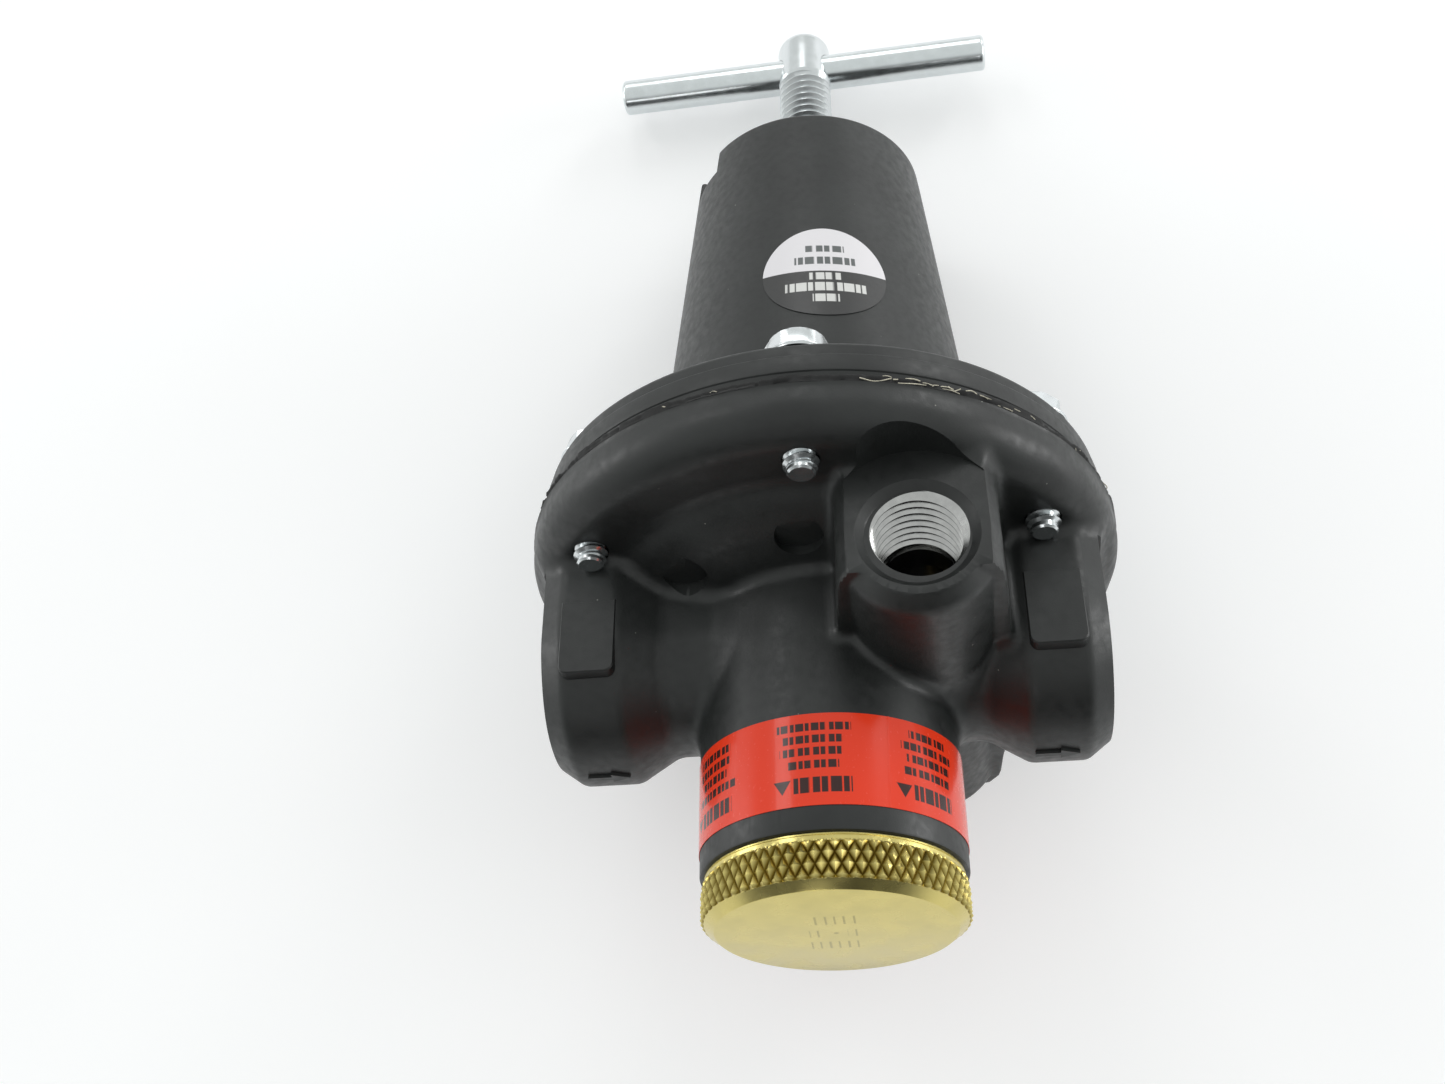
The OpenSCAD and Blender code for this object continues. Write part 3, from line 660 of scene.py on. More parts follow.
def cut_round(a, b, r):
    """Intersection of two distance fields, with the edge between them rounded to radius r."""
    return np.minimum(-r, np.maximum(a, b)) + np.hypot(np.maximum(r + a, 0), np.maximum(r + b, 0))


def slant(a, b, a0, b0, run, rise):
    """Distance field of a plane through (a0, b0) that falls by rise along b over run along a."""
    return (rise * (a - a0) + run * (b - b0)) / math.hypot(run, rise)


def ripple(x, y, z):
    """Slow unevenness of a cast surface, in millimetres."""
    chance = np.random.default_rng(7)
    total = 0
    for wavelength, height in ((16, 0.035), (12, 0.03), (9, 0.022), (7, 0.016), (5, 0.012)):
        way = chance.normal(size=3)
        way *= 2 * math.pi / wavelength / np.linalg.norm(way)
        total = total + height * np.sin(x * way[0] + y * way[1] + z * way[2] + chance.uniform(0, 6))
    return total


def flange_field(rho, z):
    """Flange disc with its rounded rim, and the thicker dished middle under it."""
    disc = cut_round(rho - FLANGE_R, RING_Z - z, RIM_ROUND)
    inner = slant(rho, -z, NECK_R, -DISH_IN_Z, DISH_EDGE_R - NECK_R, DISH_EDGE_Z - DISH_IN_Z)
    outer = slant(rho, -z, DISH_EDGE_R, -DISH_EDGE_Z, RING_IN_R - DISH_EDGE_R, RING_Z - DISH_EDGE_Z)
    return union_round(disc, cut_round(inner, outer, 1.2), 0.7)


def main_boss_field(x, y, z):
    """Both main bosses: round below and straight-sided above, chamfered outside, waisted inside."""
    out = np.abs(x)
    u = np.hypot(y, np.minimum(z - PORT_Z, 0))
    rise = BOSS_R - BOSS_WAIST_R
    taper = slant(out, u, BOSS_WAIST_X, BOSS_WAIST_R, BOSS_STRAIGHT_X - BOSS_WAIST_X, -rise)
    chamfer = slant(out, u, PORT_FACE_X - BOSS_CHAMFER_X, BOSS_R, BOSS_CHAMFER_X, BOSS_CHAMFER_R)
    end = cut_round(cut_round(u - BOSS_R, taper, 0.35), chamfer, 0.35)
    end = cut_round(end, out - PORT_FACE_X - 0.4, 0.3)
    waist = np.maximum(u - BOSS_WAIST_R, out - BOSS_STRAIGHT_X)
    return np.maximum(union_round(end, waist, 0.5), z - ROOF_Z)


def gauge_boss_field(x, y, z):
    """Both gauge bosses: a chamfered round below and a drafted square block above."""
    out = np.abs(y)
    aside = np.abs(x - GAUGE_X)
    u = np.hypot(x - GAUGE_X, z - PORT_Z)
    edge_y = GAUGE_FACE_Y - GAUGE_CHAMFER_Y
    chamfer = (edge_y, GAUGE_BOSS_R, GAUGE_CHAMFER_Y, GAUGE_CHAMFER_R)
    round_end = cut_round(u - GAUGE_BOSS_R, slant(out, u, *chamfer), 0.4)
    draft = GAUGE_DRAFT / (edge_y - NECK_R)
    side = aside - GAUGE_BOSS_R - (edge_y - out) * draft
    square = cut_round(side, slant(out, aside, *chamfer), 0.35)
    square = cut_round(square, GAUGE_BLOCK_LOW_Z - z, 0.5)
    both = cut_round(union_round(round_end, square, 0.3), out - GAUGE_FACE_Y - 0.2, 0.25)
    return np.maximum(both, z - ROOF_Z)


def casting_field(x, y, z):
    """Distance field of the body's cast surface above the label: negative inside."""
    rho = np.hypot(x, y)
    whole = union_round(rho - NECK_R, flange_field(rho, z), 1.5)
    whole = union_round(whole, main_boss_field(x, y, z), 2.0)
    whole = union_round(whole, gauge_boss_field(x, y, z), 1.6)
    above_label = np.clip((z - 24) / 8, 0, 1)
    whole = np.maximum(whole + ripple(x, y, z) * above_label, z - SEAM_Z - 0.8)
    return np.maximum(whole, CAST_LOW_Z - z)


def surface_net(field, low, high, step):
    """Points and quads over the zero level of a distance field: one point in each crossed cell,
    then moved on to the surface."""
    axes = [np.arange(a, b + step, step) for a, b in zip(low, high)]
    grid = np.meshgrid(*axes, indexing="ij", sparse=True)
    value = np.broadcast_to(field(*grid), [len(a) for a in axes])
    shape = np.array(value.shape)
    quads, corners, crossings = [], [], []
    for axis in range(3):
        first, second = [slice(None)] * 3, [slice(None)] * 3
        first[axis], second[axis] = slice(0, -1), slice(1, None)
        v0, v1 = value[tuple(first)], value[tuple(second)]
        spots = np.argwhere((v0 < 0) != (v1 < 0))
        a, b = v0[tuple(spots.T)], v1[tuple(spots.T)]
        where = spots.astype(float)
        where[:, axis] += a / (a - b)
        u, v = (axis + 1) % 3, (axis + 2) % 3
        ring = []
        for du, dv in ((0, 0), (1, 0), (1, 1), (0, 1)):
            cell = spots.copy()
            cell[:, u] -= du
            cell[:, v] -= dv
            ring.append(np.ravel_multi_index(tuple(cell.T), shape))
            corners.append(ring[-1])
            crossings.append(where)
        ring = np.stack(ring, 1)
        ring[a >= 0] = ring[a >= 0][:, ::-1]
        quads.append(ring)
    cells, index = np.unique(np.concatenate(corners), return_inverse=True)
    crossings = np.concatenate(crossings)
    count = np.bincount(index)
    points = np.stack([np.bincount(index, crossings[:, k]) / count for k in range(3)], 1)
    points = points * step + np.array(low)
    quads = np.searchsorted(cells, np.concatenate(quads))
    probe = 0.02
    for _ in range(4):
        away = field(*points.T)
        slope = np.stack([(field(*(points + h).T) - field(*(points - h).T)) / (2 * probe)
                          for h in probe * np.eye(3)], 1)
        move = away[:, None] * slope / np.maximum((slope ** 2).sum(1), 0.1)[:, None]
        points -= np.clip(move, -0.2 * step, 0.2 * step)
    return points, quads


def port_shape(r, depth, lead, pitch, mouth, axis):
    """The cut of one tapped pipe port: taper thread and plain bottom."""
    height, flat = 0.78 * pitch, 0.07
    profile = [(0.0, 0.0), (flat, 0.0), (0.5, -height), (0.5 + flat, -height)]

    def trim(z, wave):
        return r + 0.05 - PIPE_TAPER * (np.maximum(-z, 0) - lead) + wave

    return placed(thread(-depth, 0.8, pitch, profile, 96, trim), along(axis, mouth))


def lead_shape(r, lead, mouth, axis):
    """The cut of a port's lead-in: a cone with faint turned steps."""
    profile = [(0, 0.8), (r + lead, 0.8), (r + lead, 0.0)]
    for share in (0.0, 0.25, 0.5, 0.75):
        at = r + lead * (1 - share)
        profile += [(at, -lead * share - 0.02), (at - 0.06, -lead * share - 0.05)]
    profile += [(r, -lead), (0, -lead)]
    return placed(lathe(profile[::-1], 128), along(axis, mouth))


def pad_shape(side_x, side_y):
    """Wrench flat on a main boss, its low corners rounded, a hair proud of the straight side."""
    outer = PORT_FACE_X - BOSS_CHAMFER_X - 0.05
    outline = arc(PAD_IN_X + PAD_ROUND, PAD_LOW_Z + PAD_ROUND, PAD_ROUND, 180, 270, 6)
    outline += arc(outer - PAD_ROUND, PAD_LOW_Z + PAD_ROUND, PAD_ROUND, 270, 360, 6)
    outline += [(outer, PAD_HIGH_Z), (PAD_IN_X, PAD_HIGH_Z)]
    deep, edge, top = BOSS_R - 3.5, BOSS_R + PAD_PROUD - 0.2, BOSS_R + PAD_PROUD
    mid_x, mid_z = (PAD_IN_X + outer) / 2, (PAD_LOW_Z + PAD_HIGH_Z) / 2
    shrink = [(mid_x + (a - mid_x) * 0.96, mid_z + (b - mid_z) * 0.974) for a, b in outline]
    n = len(outline)
    rows = [(outline, deep), (outline, edge), (shrink, top)]
    points = [(side_x * a, side_y * d, b) for ring, d in rows for a, b in ring]
    caps = [tuple(range(n)), tuple(range(3 * n - 1, 2 * n - 1, -1))]
    return points, caps + between(0, n, n) + between(n, 2 * n, n)


def arrow_shape(mid_x):
    """Flow arrow under a main boss, pointing along +X."""
    half, wide, neck = 0.42, 1.15, 0.4
    outline = [(-ARROW_LENGTH / 2, -half), (neck, -half), (neck, -wide), (ARROW_LENGTH / 2, 0),
               (neck, wide), (neck, half), (-ARROW_LENGTH / 2, half)]
    low = PORT_Z - BOSS_R - ARROW_PROUD
    return placed(prism(outline, low, low + 2.0), Matrix.Translation((mid_x, 0, 0)))


def bored(r, axis, origin, length, segments=96):
    """A plain drilling of that radius, from a point along an axis."""
    return placed(cylinder(r, 0, length, segments), along(axis, origin))


def block(low, high):
    """A plain rectangular cut between two corners."""
    outline = [(low[0], low[1]), (high[0], low[1]), (high[0], high[1]), (low[0], high[1])]
    return prism(outline, low[2], high[2])


def inner_cuts():
    """Chambers, passages and drillings of the body, as the CAD part has them."""
    # Radius, lowest height and length of the bores about the middle axis, from the bottom up.
    upright = [(15.6, NECK_LOW_Z - 1, 2.9), (13.22, NECK_LOW_Z - 0.5, 10.5), (12.0, 16.5, 20.0),
               (8.02, 36, 6.0), (12.0, 41, 8.0), (4.02, 48, 5.0), (7.2, 51.5, 2.5), (30.0, 52.6, 6.0)]
    cuts = [bored(r, UP, (0, 0, z), length) for r, z, length in upright]
    cuts.append(block((-23.0, -6.6, 31.8), (-8.0, 6.6, 36.2)))
    cuts.append(block((8.0, -6.6, 41.6), (23.0, 6.6, 47.8)))
    cuts.append(bored(3.0, (0, 1, 0), (GAUGE_X, -16.5, 44.3), 33.0, 48))
    for side in (-1, 1):
        cuts.append(bored(GAUGE_DRILL_R, (0, side, 0), (GAUGE_X, side * 15.5, PORT_Z), 15.0, 64))
    return cuts


def outer_cuts():
    """Machined faces of the body: port faces, spot faces, screw holes and the two shallow marks."""
    cuts = []
    for side in (-1, 1):
        near, far = sorted((side * PORT_FACE_X, side * (PORT_FACE_X + 6)))
        cuts.append(block((near, -BOSS_R - 2, 20), (far, BOSS_R + 2, RING_Z - 0.5)))
        cuts.append(bored(GAUGE_SPOT_R, (0, side, 0), (GAUGE_X, side * GAUGE_FACE_Y, PORT_Z), 12.0))
    cuts += [bored(SCREW_R + 0.12, UP, polar(SCREW_CIRCLE_R, a, 48.2), 20.0, 48) for a in SCREW_AZIMUTHS]
    return cuts + [bored(MARK_R, UP, (x, y, MARK_Z - 4), 4.0, 64) for x, y in MARK_PLACES]


def make_body(coat, tapped):
    """Cast body with its fillets, and the machined ports, faces and chambers cut into it."""
    margin = FLANGE_R + 2
    low, high = (-margin, -margin, CAST_LOW_Z - 2), (margin, margin, SEAM_Z + 2.5)
    points, quads = surface_net(casting_field, low, high, CAST_STEP)
    body = add_object("body_casting", mesh_of("body_casting", points, quads.tolist()), coat)
    raised = [pad_shape(sx, sy) for sx in (-1, 1) for sy in (-1, 1)]
    raised += [arrow_shape(-ARROW_MID_X), arrow_shape(ARROW_MID_X)]
    neck_r = NECK_R - 0.01
    raised.append(lathe([(0, NECK_LOW_Z), (neck_r - 0.35, NECK_LOW_Z), (neck_r - 0.1, NECK_LOW_Z + 0.1),
                         (neck_r, NECK_LOW_Z + 0.35), (neck_r, CAST_LOW_Z + 1), (0, CAST_LOW_Z + 1)], 256))
    for shape in raised:
        carve(body, shape, coat, "UNION")
    wide = FLANGE_R + 5
    carve(body, block((-wide, -wide, SEAM_Z), (wide, wide, SEAM_Z + 9)), coat)
    combine(body, merged("inner", inner_cuts(), coat), "DIFFERENCE")
    for shape in outer_cuts():
        carve(body, shape, coat)
    for side in (-1, 1):
        main = (MAIN_PORT_R, *MAIN_TAP, (side * PORT_FACE_X, 0, PORT_Z), (side, 0, 0))
        gauge = (GAUGE_PORT_R, *GAUGE_TAP, (GAUGE_X, side * GAUGE_FACE_Y, PORT_Z), (0, side, 0))
        for r, depth, lead, pitch, mouth, way in (main, gauge):
            carve(body, lead_shape(r, lead, mouth, way), coat, merge=0.004)
            carve(body, port_shape(r, depth, lead, pitch, mouth, way), tapped, merge=0.004)
    piece(body, "root", "cast_black", "body", angle=32)


# ------------------------------------------------------------------ bonnet


def bell_radius(z):
    """Radius of the bell's cone at a height."""
    return BELL_BASE_R - (z - FLANGE_TOP_Z) * BELL_SLOPE


def make_bonnet(coat):
    """Bell and flange turned from one profile, with the cavity, the tapped hole and the rim notch."""
    step_z, taper_z = BONNET_Z + 4.4, BONNET_Z + 1.7
    outer = BONNET_HIGH.y
    flange = outer - 0.4
    profile = [(30.0, BONNET_Z), (outer - 0.75, BONNET_Z), (outer - 0.6, BONNET_Z + 0.12)]
    profile += [(outer - 0.22, taper_z - 0.12), (outer - 0.05, taper_z + 0.03), (outer, taper_z + 0.25)]
    profile += arc(outer - 0.25, step_z - 0.25, 0.25, 0, 90, 4) + [(flange + 0.02, step_z)]
    profile += arc(flange - 1.0, FLANGE_TOP_Z - 1.0, 1.0, 0, 90, 6)
    leave = 180 + math.degrees(math.atan(BELL_SLOPE))
    profile += arc(BELL_BASE_R + 2.5, FLANGE_TOP_Z + 2.5, 2.5, 270, leave, 9)
    steps = 26
    top_join = BELL_TOP_Z - BELL_ROUND
    bottom_join = profile[-1][1]
    heights = [bottom_join + (top_join - bottom_join) * i / steps for i in range(1, steps)]
    profile += [(bell_radius(z), z) for z in heights]
    profile += arc(BELL_TOP_R - BELL_ROUND + 0.05, top_join, BELL_ROUND, 3, 90, 7)
    hole = 4.77
    profile += [(hole + 0.5, BELL_TOP_Z), (hole, BELL_TOP_Z - 0.5), (hole, 122.0), (8.5, 122.0),
                (8.5, 126.5), (16.4, 126.5), (22.2, BONNET_Z + 8), (23.7, BONNET_Z + 5),
                (30.0, BONNET_Z + 3.2)]
    bonnet = solid("bonnet_casting", lathe(profile, 220, closed=True), coat)
    turn = Matrix.Rotation(NOTCH_AZIMUTH, 4, "Z")
    notch = block((BELL_TOP_R - 3.2, -4.1, 127.0), (BELL_TOP_R + 4, 4.1, BELL_TOP_Z + 2))
    carve(bonnet, placed(notch, turn), coat)
    for a in SCREW_AZIMUTHS:
        carve(bonnet, bored(TAPPED_R, UP, polar(SCREW_CIRCLE_R, a, BONNET_Z - 1), 9.0, 40), coat)
    piece(bonnet, "root", "bonnet_black", "bonnet", angle=30)


# ------------------------------------------------------------------ diaphragm


def edge_roughness(angle, chance_seed=11):
    """How far the diaphragm's trimmed edge stands out at an angle, in millimetres."""
    chance = np.random.default_rng(chance_seed)
    total = np.zeros_like(angle)
    heights = {5: 0.08, 9: 0.07, 17: 0.06, 31: 0.05, 67: 0.05, 131: 0.04, 210: 0.03}
    for waves, height in heights.items():
        total += height * np.sin(waves * angle + chance.uniform(0, FULL_TURN))
    for _ in range(26):
        middle, half = chance.uniform(0, FULL_TURN), chance.uniform(0.03, 0.16)
        near = np.abs((angle - middle + math.pi) % FULL_TURN - math.pi) < half
        total += np.where(near, chance.uniform(-0.3, 0.4), 0)
    return total


def make_diaphragm(material):
    """Rubber diaphragm: rolled convolution inside, and a ragged trimmed edge between the flanges."""
    middle, roll, thick = 27.2, 2.8, BONNET_Z - SEAM_Z
    stud = 3.42
    edge = BONNET_HIGH.x + 1.15
    under = [(stud, SEAM_Z)] + arc(middle, SEAM_Z, roll - thick / 2, 180, 0, 14)
    over = arc(middle, BONNET_Z, roll, 0, 180, 14) + [(stud, BONNET_Z)]
    rim = [(edge - 0.9, SEAM_Z), (edge - 0.12, SEAM_Z + 0.02), (edge, SEAM_Z + 0.22),
           (edge - 0.1, SEAM_Z + 0.45), (edge - 0.06, SEAM_Z + 0.75), (edge + 0.02, BONNET_Z - 0.3),
           (edge - 0.1, BONNET_Z - 0.02), (edge - 0.9, BONNET_Z)]
    points, faces = lathe(under + rim + over, 900, closed=True)
    points, radius, angle = about_z(points)
    rag = edge_roughness(angle) + 0.6 * edge_roughness(angle + 0.8 * (points[:, 2] > SEAM_Z + 0.6), 5)
    share = np.clip((radius - edge + 0.6) / 0.5, 0, 1)
    grown = np.minimum(radius + rag * share, FLANGE_R + 0.15)
    points[:, :2] *= (grown / radius)[:, None]
    sheet = solid("diaphragm_rubber", (points, faces), material, merge=0.0005)
    piece(sheet, "root", "diaphragm_rubber", "diaphragm", angle=50)


def make_fibres(material):
    """Pale cords frayed out of the diaphragm's edge, most of them front right."""
    cords, crowded_cords = 26, 15
    chance = np.random.default_rng(3)
    points, faces = [], []
    for n in range(cords):
        crowded = n < crowded_cords
        start = chance.uniform(-79, -46) if crowded else chance.uniform(0, 360)
        length = chance.uniform(1.4, 4.2) if crowded else chance.uniform(0.8, 2.0)
        height = chance.uniform(SEAM_Z + 0.35, BONNET_Z - 0.1)
        phase = chance.uniform(0, 6)
        path = []
        for k in range(9):
            share = k / 8
            a = math.radians(start) + share * length / FLANGE_R
            r = FLANGE_R - 0.1 + 0.2 * math.sin(phase + 5 * share) + 0.1 * share
            path.append(polar(r, a, height + 0.22 * math.sin(1.7 * phase + 4 * share)))
        cord_points, cord_faces = tube_along(path, chance.uniform(0.05, 0.09), 5)
        faces += [tuple(v + len(points) for v in face) for face in cord_faces]
        points += cord_points
    fibres = solid("frayed_cords", (points, faces), material, merge=0.0005)
    piece(fibres, "root", "diaphragm_rubber", angle=80)


# ------------------------------------------------------------------ fasteners and handle


def outer_thread(low, high, pitch, r, lead, depth, segments=72):
    """External thread with a chamfered lower end, closed at both."""
    profile = [(0.0, 0.0), (0.08, 0.0), (0.46, -depth), (0.62, -depth)]

    def trim(z, wave):
        return np.minimum(r + wave, np.minimum(r, r - lead + (z - low)))

    return thread(low, high, pitch, profile, segments, trim)


def screw_head(turn):
    """Hex washer head: a domed flange, crowned flats and a dished top."""
    base, flats, head_top = FLANGE_TOP_Z, 7.94, SCREWS_HIGH.z
    washer = lathe([(0, base), (4.95, base)] + arc(4.85, base + 0.35, 0.25, -60, 60, 4)
                   + [(4.3, base + 0.85), (3.9, base + 1.05), (0, base + 1.05)], 72)
    corners = [polar(flats / math.sqrt(3), turn + math.radians(60 * i)) for i in range(6)]
    dish = [(2.5, head_top - 0.02), (2.1, head_top - 0.45), (0, head_top - 0.55)]
    crown = lathe([(0, base + 0.5), (4.75, base + 0.5), (4.62, head_top - 1.05)]
                  + arc(3.15, head_top - 1.0, 1.0, 20, 90, 6) + dish, 96)
    return washer, prism(corners, base + 0.4, head_top + 1), crown


def make_bonnet_screws(material):
    """Six hex washer-head screws, each turned its own way, their threaded ends showing below."""
    turns = [math.radians(a) for a in (12, 47, 25, 3, 6, 33)]
    tip, point = SCREWS_LOW.z, 1.9
    dog = lathe([(0, tip), (point - 0.3, tip), (point, tip + 0.25), (point, tip + 1.2), (0, tip + 1.2)], 64)
    shank = outer_thread(tip + 0.75, FLANGE_TOP_Z + 0.6, SCREW_PITCH, SCREW_R, 0.45, 0.6 * SCREW_PITCH)
    screws = []
    for azimuth, turn in zip(SCREW_AZIMUTHS, turns):
        spot = Matrix.Translation(polar(SCREW_CIRCLE_R, azimuth, 0))
        washer, hexagon, crown = screw_head(turn)
        screw = solid("bonnet_screw_set", placed(hexagon, spot), material)
        carve(screw, placed(crown, spot), material, "INTERSECT")
        carve(screw, placed(washer, spot), material, "UNION")
        carve(screw, placed(dog, spot), material, "UNION")
        turned = spot @ Matrix.Rotation(turn * 5, 4, "Z")
        carve(screw, placed(shank, turned), material, "UNION", merge=0.003)
        screws.append(screw)
    for screw in screws[1:]:
        combine(screws[0], screw, "UNION")
    piece(screws[0], "root", "screw_zinc", "bonnet_screws", angle=30)


def make_adjusting_screw(material):
    """Adjusting screw: rolled thread below, plain domed head above, cross-drilled for the bar."""
    tip, top, r = ADJUSTER_LOW.z, ADJUSTER_HIGH.z, ADJUSTER_R
    shank = outer_thread(tip, HEAD_BASE_Z + 0.3, ADJUSTER_PITCH, r, 2.0, 0.82, 96)
    screw = solid("adjusting_screw_shank", shank, material, merge=0.003)
    head_r = ADJUSTER_HIGH.x
    profile = [(0, HEAD_BASE_Z - 0.2), (r - 0.75, HEAD_BASE_Z - 0.2), (head_r - 0.35, HEAD_BASE_Z + 0.35),
               (head_r, HEAD_BASE_Z + 0.9), (head_r, BAR_Z - 1), (head_r, BAR_Z + 1)]
    profile += arc(head_r - 2.2, top - 2.35, 2.2, 0, 62, 8) + arc(0, top - 11.0, 11.0, 74, 90, 4)
    carve(screw, lathe(profile, 120), material, "UNION")
    carve(screw, placed(cylinder(BAR_R + 0.05, -12, 12, 64), along(BAR_WAY, (0, 0, BAR_Z))), material)
    piece(screw, "t_handle", "screw_zinc", "adjusting_screw", angle=28)


def make_t_bar(material):
    """Bar of the T-handle, sheared at its ends and slightly uneven along its length."""
    half, rows = BAR_HALF, 60
    profile = [(0, -half), (BAR_R - 0.75, -half)] + arc(BAR_R - 0.7, 0.7 - half, 0.7, 290, 360, 5)
    profile += [(BAR_R - 0.02 + 0.012 * math.sin(1.9 * i), 0.9 - half + (2 * half - 1.8) * i / rows)
                for i in range(rows + 1)]
    profile += arc(BAR_R - 0.7, half - 0.7, 0.7, 0, 70, 5) + [(BAR_R - 0.75, half), (0, half)]
    stand = along(BAR_WAY, polar(BAR_SHIFT, BAR_AZIMUTH, BAR_Z))
    bar = solid("t_handle_bar", placed(lathe(profile, 96), stand), material)
    piece(bar, "t_handle", "bar_zinc", "t_bar", angle=40)


# ------------------------------------------------------------------ bottom plug


def knurl_ridges(around, up):
    """Heights of the two crossing sets of ridges of a diamond knurl, each from 0 to 1."""
    u, v = around / KNURL_WIDTH + up / KNURL_HEIGHT, around / KNURL_WIDTH - up / KNURL_HEIGHT
    return 1 - np.abs(2 * (u % 1) - 1), 1 - np.abs(2 * (v % 1) - 1)


def knurl_faces(faces, first_row, columns, phase):
    """Splits the knurl's quads along its grooves, so that every point stays a crisp pyramid."""
    split = []
    for n, face in enumerate(faces):
        row, column = divmod(n, columns)
        row -= first_row
        if not 0 <= row < KNURL_ROWS:
            split.append(face)
            continue
        a, b, c, d = face
        around = (column + 0.5) * KNURL_WIDTH / KNURL_SHARE
        up = (row + 0.5) * KNURL_HEIGHT / KNURL_SHARE + phase
        falling, rising = knurl_ridges(around, up)
        split += [(a, b, d), (b, c, d)] if falling < rising else [(a, b, c), (a, c, d)]
    return split


def make_bottom_plug(material):
    """Brass plug: turned face and chamfer, a raised diamond knurl, a narrow shoulder and a spigot."""
    face_r, land_r, base = PLUG_R - 1.75, PLUG_R - 0.42, PLUG_R - KNURL_DEPTH
    columns = KNURL_COUNT * KNURL_SHARE
    phase = 3 * KNURL_HEIGHT / KNURL_SHARE
    profile = [(0, 0), (0.45, 0), (1.6, 0), (face_r - 0.25, 0), (face_r - 0.08, 0.05), (face_r, 0.13),
               (PLUG_R - 0.62, 1.0), (land_r - 0.1, KNURL_LOW - 0.05)]
    start = len(profile)
    tall = KNURL_HIGH - KNURL_LOW
    profile += [(base, KNURL_LOW + tall * i / KNURL_ROWS) for i in range(KNURL_ROWS + 1)]
    profile += [(land_r - 0.05, KNURL_HIGH + 0.1), (land_r - 0.05, 6.5), (land_r - 0.2, 6.57),
                (land_r - 0.2, 6.68), (land_r - 0.1, 6.74), (land_r - 0.1, 6.95),
                (land_r - 0.2, NECK_LOW_Z), (13.2, NECK_LOW_Z), (13.2, 16.0), (12.2, 17.0), (7.4, 17.0),
                (7.4, 8.6), (3.27, 8.6), (3.27, 3.0), (0, 3.0)]
    points, faces = lathe(profile, columns)
    faces = knurl_faces(faces, start, columns, phase)
    first = 1 + (start - 1) * columns
    band = slice(first, first + (KNURL_ROWS + 1) * columns)
    points, _, angle = about_z(points)
    angle, z = angle[band], points[band, 2]
    around = angle * PLUG_R
    height = np.minimum(*knurl_ridges(around, z - KNURL_LOW + phase))
    struck_twice, half_width = math.radians(-58), 0.22
    away = np.abs((angle - struck_twice + math.pi) % FULL_TURN - math.pi)
    double = np.clip(1 - away / half_width, 0, 1)
    other = np.minimum(*knurl_ridges(around + 0.62, z - KNURL_LOW + 1.1))
    height = np.minimum(height, 1 - double * (1 - other) * 0.75)
    ends = np.clip(np.minimum(z - KNURL_LOW, KNURL_HIGH - z) / 0.18, 0, 1)
    r = base + KNURL_DEPTH * (0.08 + 0.92 * height * (0.55 + 0.45 * ends))
    points[band, 0], points[band, 1] = r * np.cos(angle), r * np.sin(angle)
    plug = solid("brass_plug", (points, faces), material, merge=0.0005)
    piece(plug, "root", "plug_brass", "bottom_plug", angle=24)


# ------------------------------------------------------------------ labels


def make_band_label(material):
    """Film round the neck, with a fine crease where its end is lapped."""
    inner, outer = NECK_R + 0.03, BAND_HIGH.x
    low, high = BAND_LOW.z, BAND_HIGH.z
    crease, crease_width, crease_height, lean = math.radians(-62.4), math.radians(0.32), 0.07, 0.0018
    rows = 24
    profile = [(outer, low + (high - low) * i / rows) for i in range(rows + 1)]
    profile += [(inner, high), (inner, low)]
    points, faces = lathe(profile, 720, closed=True)
    points, radius, angle = about_z(points)
    angle -= lean * (points[:, 2] - low)
    ridge = crease_height * np.exp(-((angle - crease) / crease_width) ** 2)
    shown = radius > (inner + outer) / 2
    points[:, :2] *= ((radius + shown * ridge) / radius)[:, None]
    band = solid("neck_band_label", (points, faces), material, merge=0.0005)
    piece(band, "root", "band_label", "neck_label", angle=50)


def make_round_label(material, centre_z):
    """Disc of film that follows the bell's cone."""
    thick, lift, rings = 0.1, 0.03, 12
    radii = [LABEL_R * i / rings for i in range(rings + 1)]
    profile = [(r, lift + thick) for r in radii] + [(r, lift) for r in reversed(radii)]
    points, faces = lathe(profile, 120)
    wrapped = []
    for across, up, level in points:
        z = centre_z + up * math.cos(math.atan(BELL_SLOPE))
        wrapped.append(polar(bell_radius(z) + level, LABEL_AZIMUTH + across / bell_radius(centre_z), z))
    label = solid("bell_round_label", (wrapped, faces), material, merge=0.0005)
    piece(label, "root", "round_label", "round_label", angle=50)


# ------------------------------------------------------------------ stage and light

# The part lies on its back on a pale table: the back of the flange and the screw's end touch it.
SCREW_END_R, SCREW_END_Z = 4.76, 169
TABLE_TILT = math.atan((FLANGE_R - SCREW_END_R) / (SCREW_END_Z - SEAM_Z))
TABLE_UP = Vector((0, -math.cos(TABLE_TILT), -math.sin(TABLE_TILT)))
TABLE_FAR = Vector((0, -math.sin(TABLE_TILT), math.cos(TABLE_TILT)))
TABLE_POINT = Vector((0, FLANGE_R + 0.4, SEAM_Z)) * MM
TABLE_HALF = 2.5
LIGHT_DISTANCE = 1.1
LIGHT_AIM = Vector((0, 0, 85 * MM))
ROOM_BRIGHT, ROOM_DARK = 0.80, 0.08


def table_way(azimuth, height):
    """Direction seen from the part: azimuth from the handle's side towards +X, height above the table."""
    a, h = math.radians(azimuth), math.radians(height)
    level = math.cos(a) * TABLE_FAR + math.sin(a) * Vector((1, 0, 0))
    return math.cos(h) * level + math.sin(h) * TABLE_UP


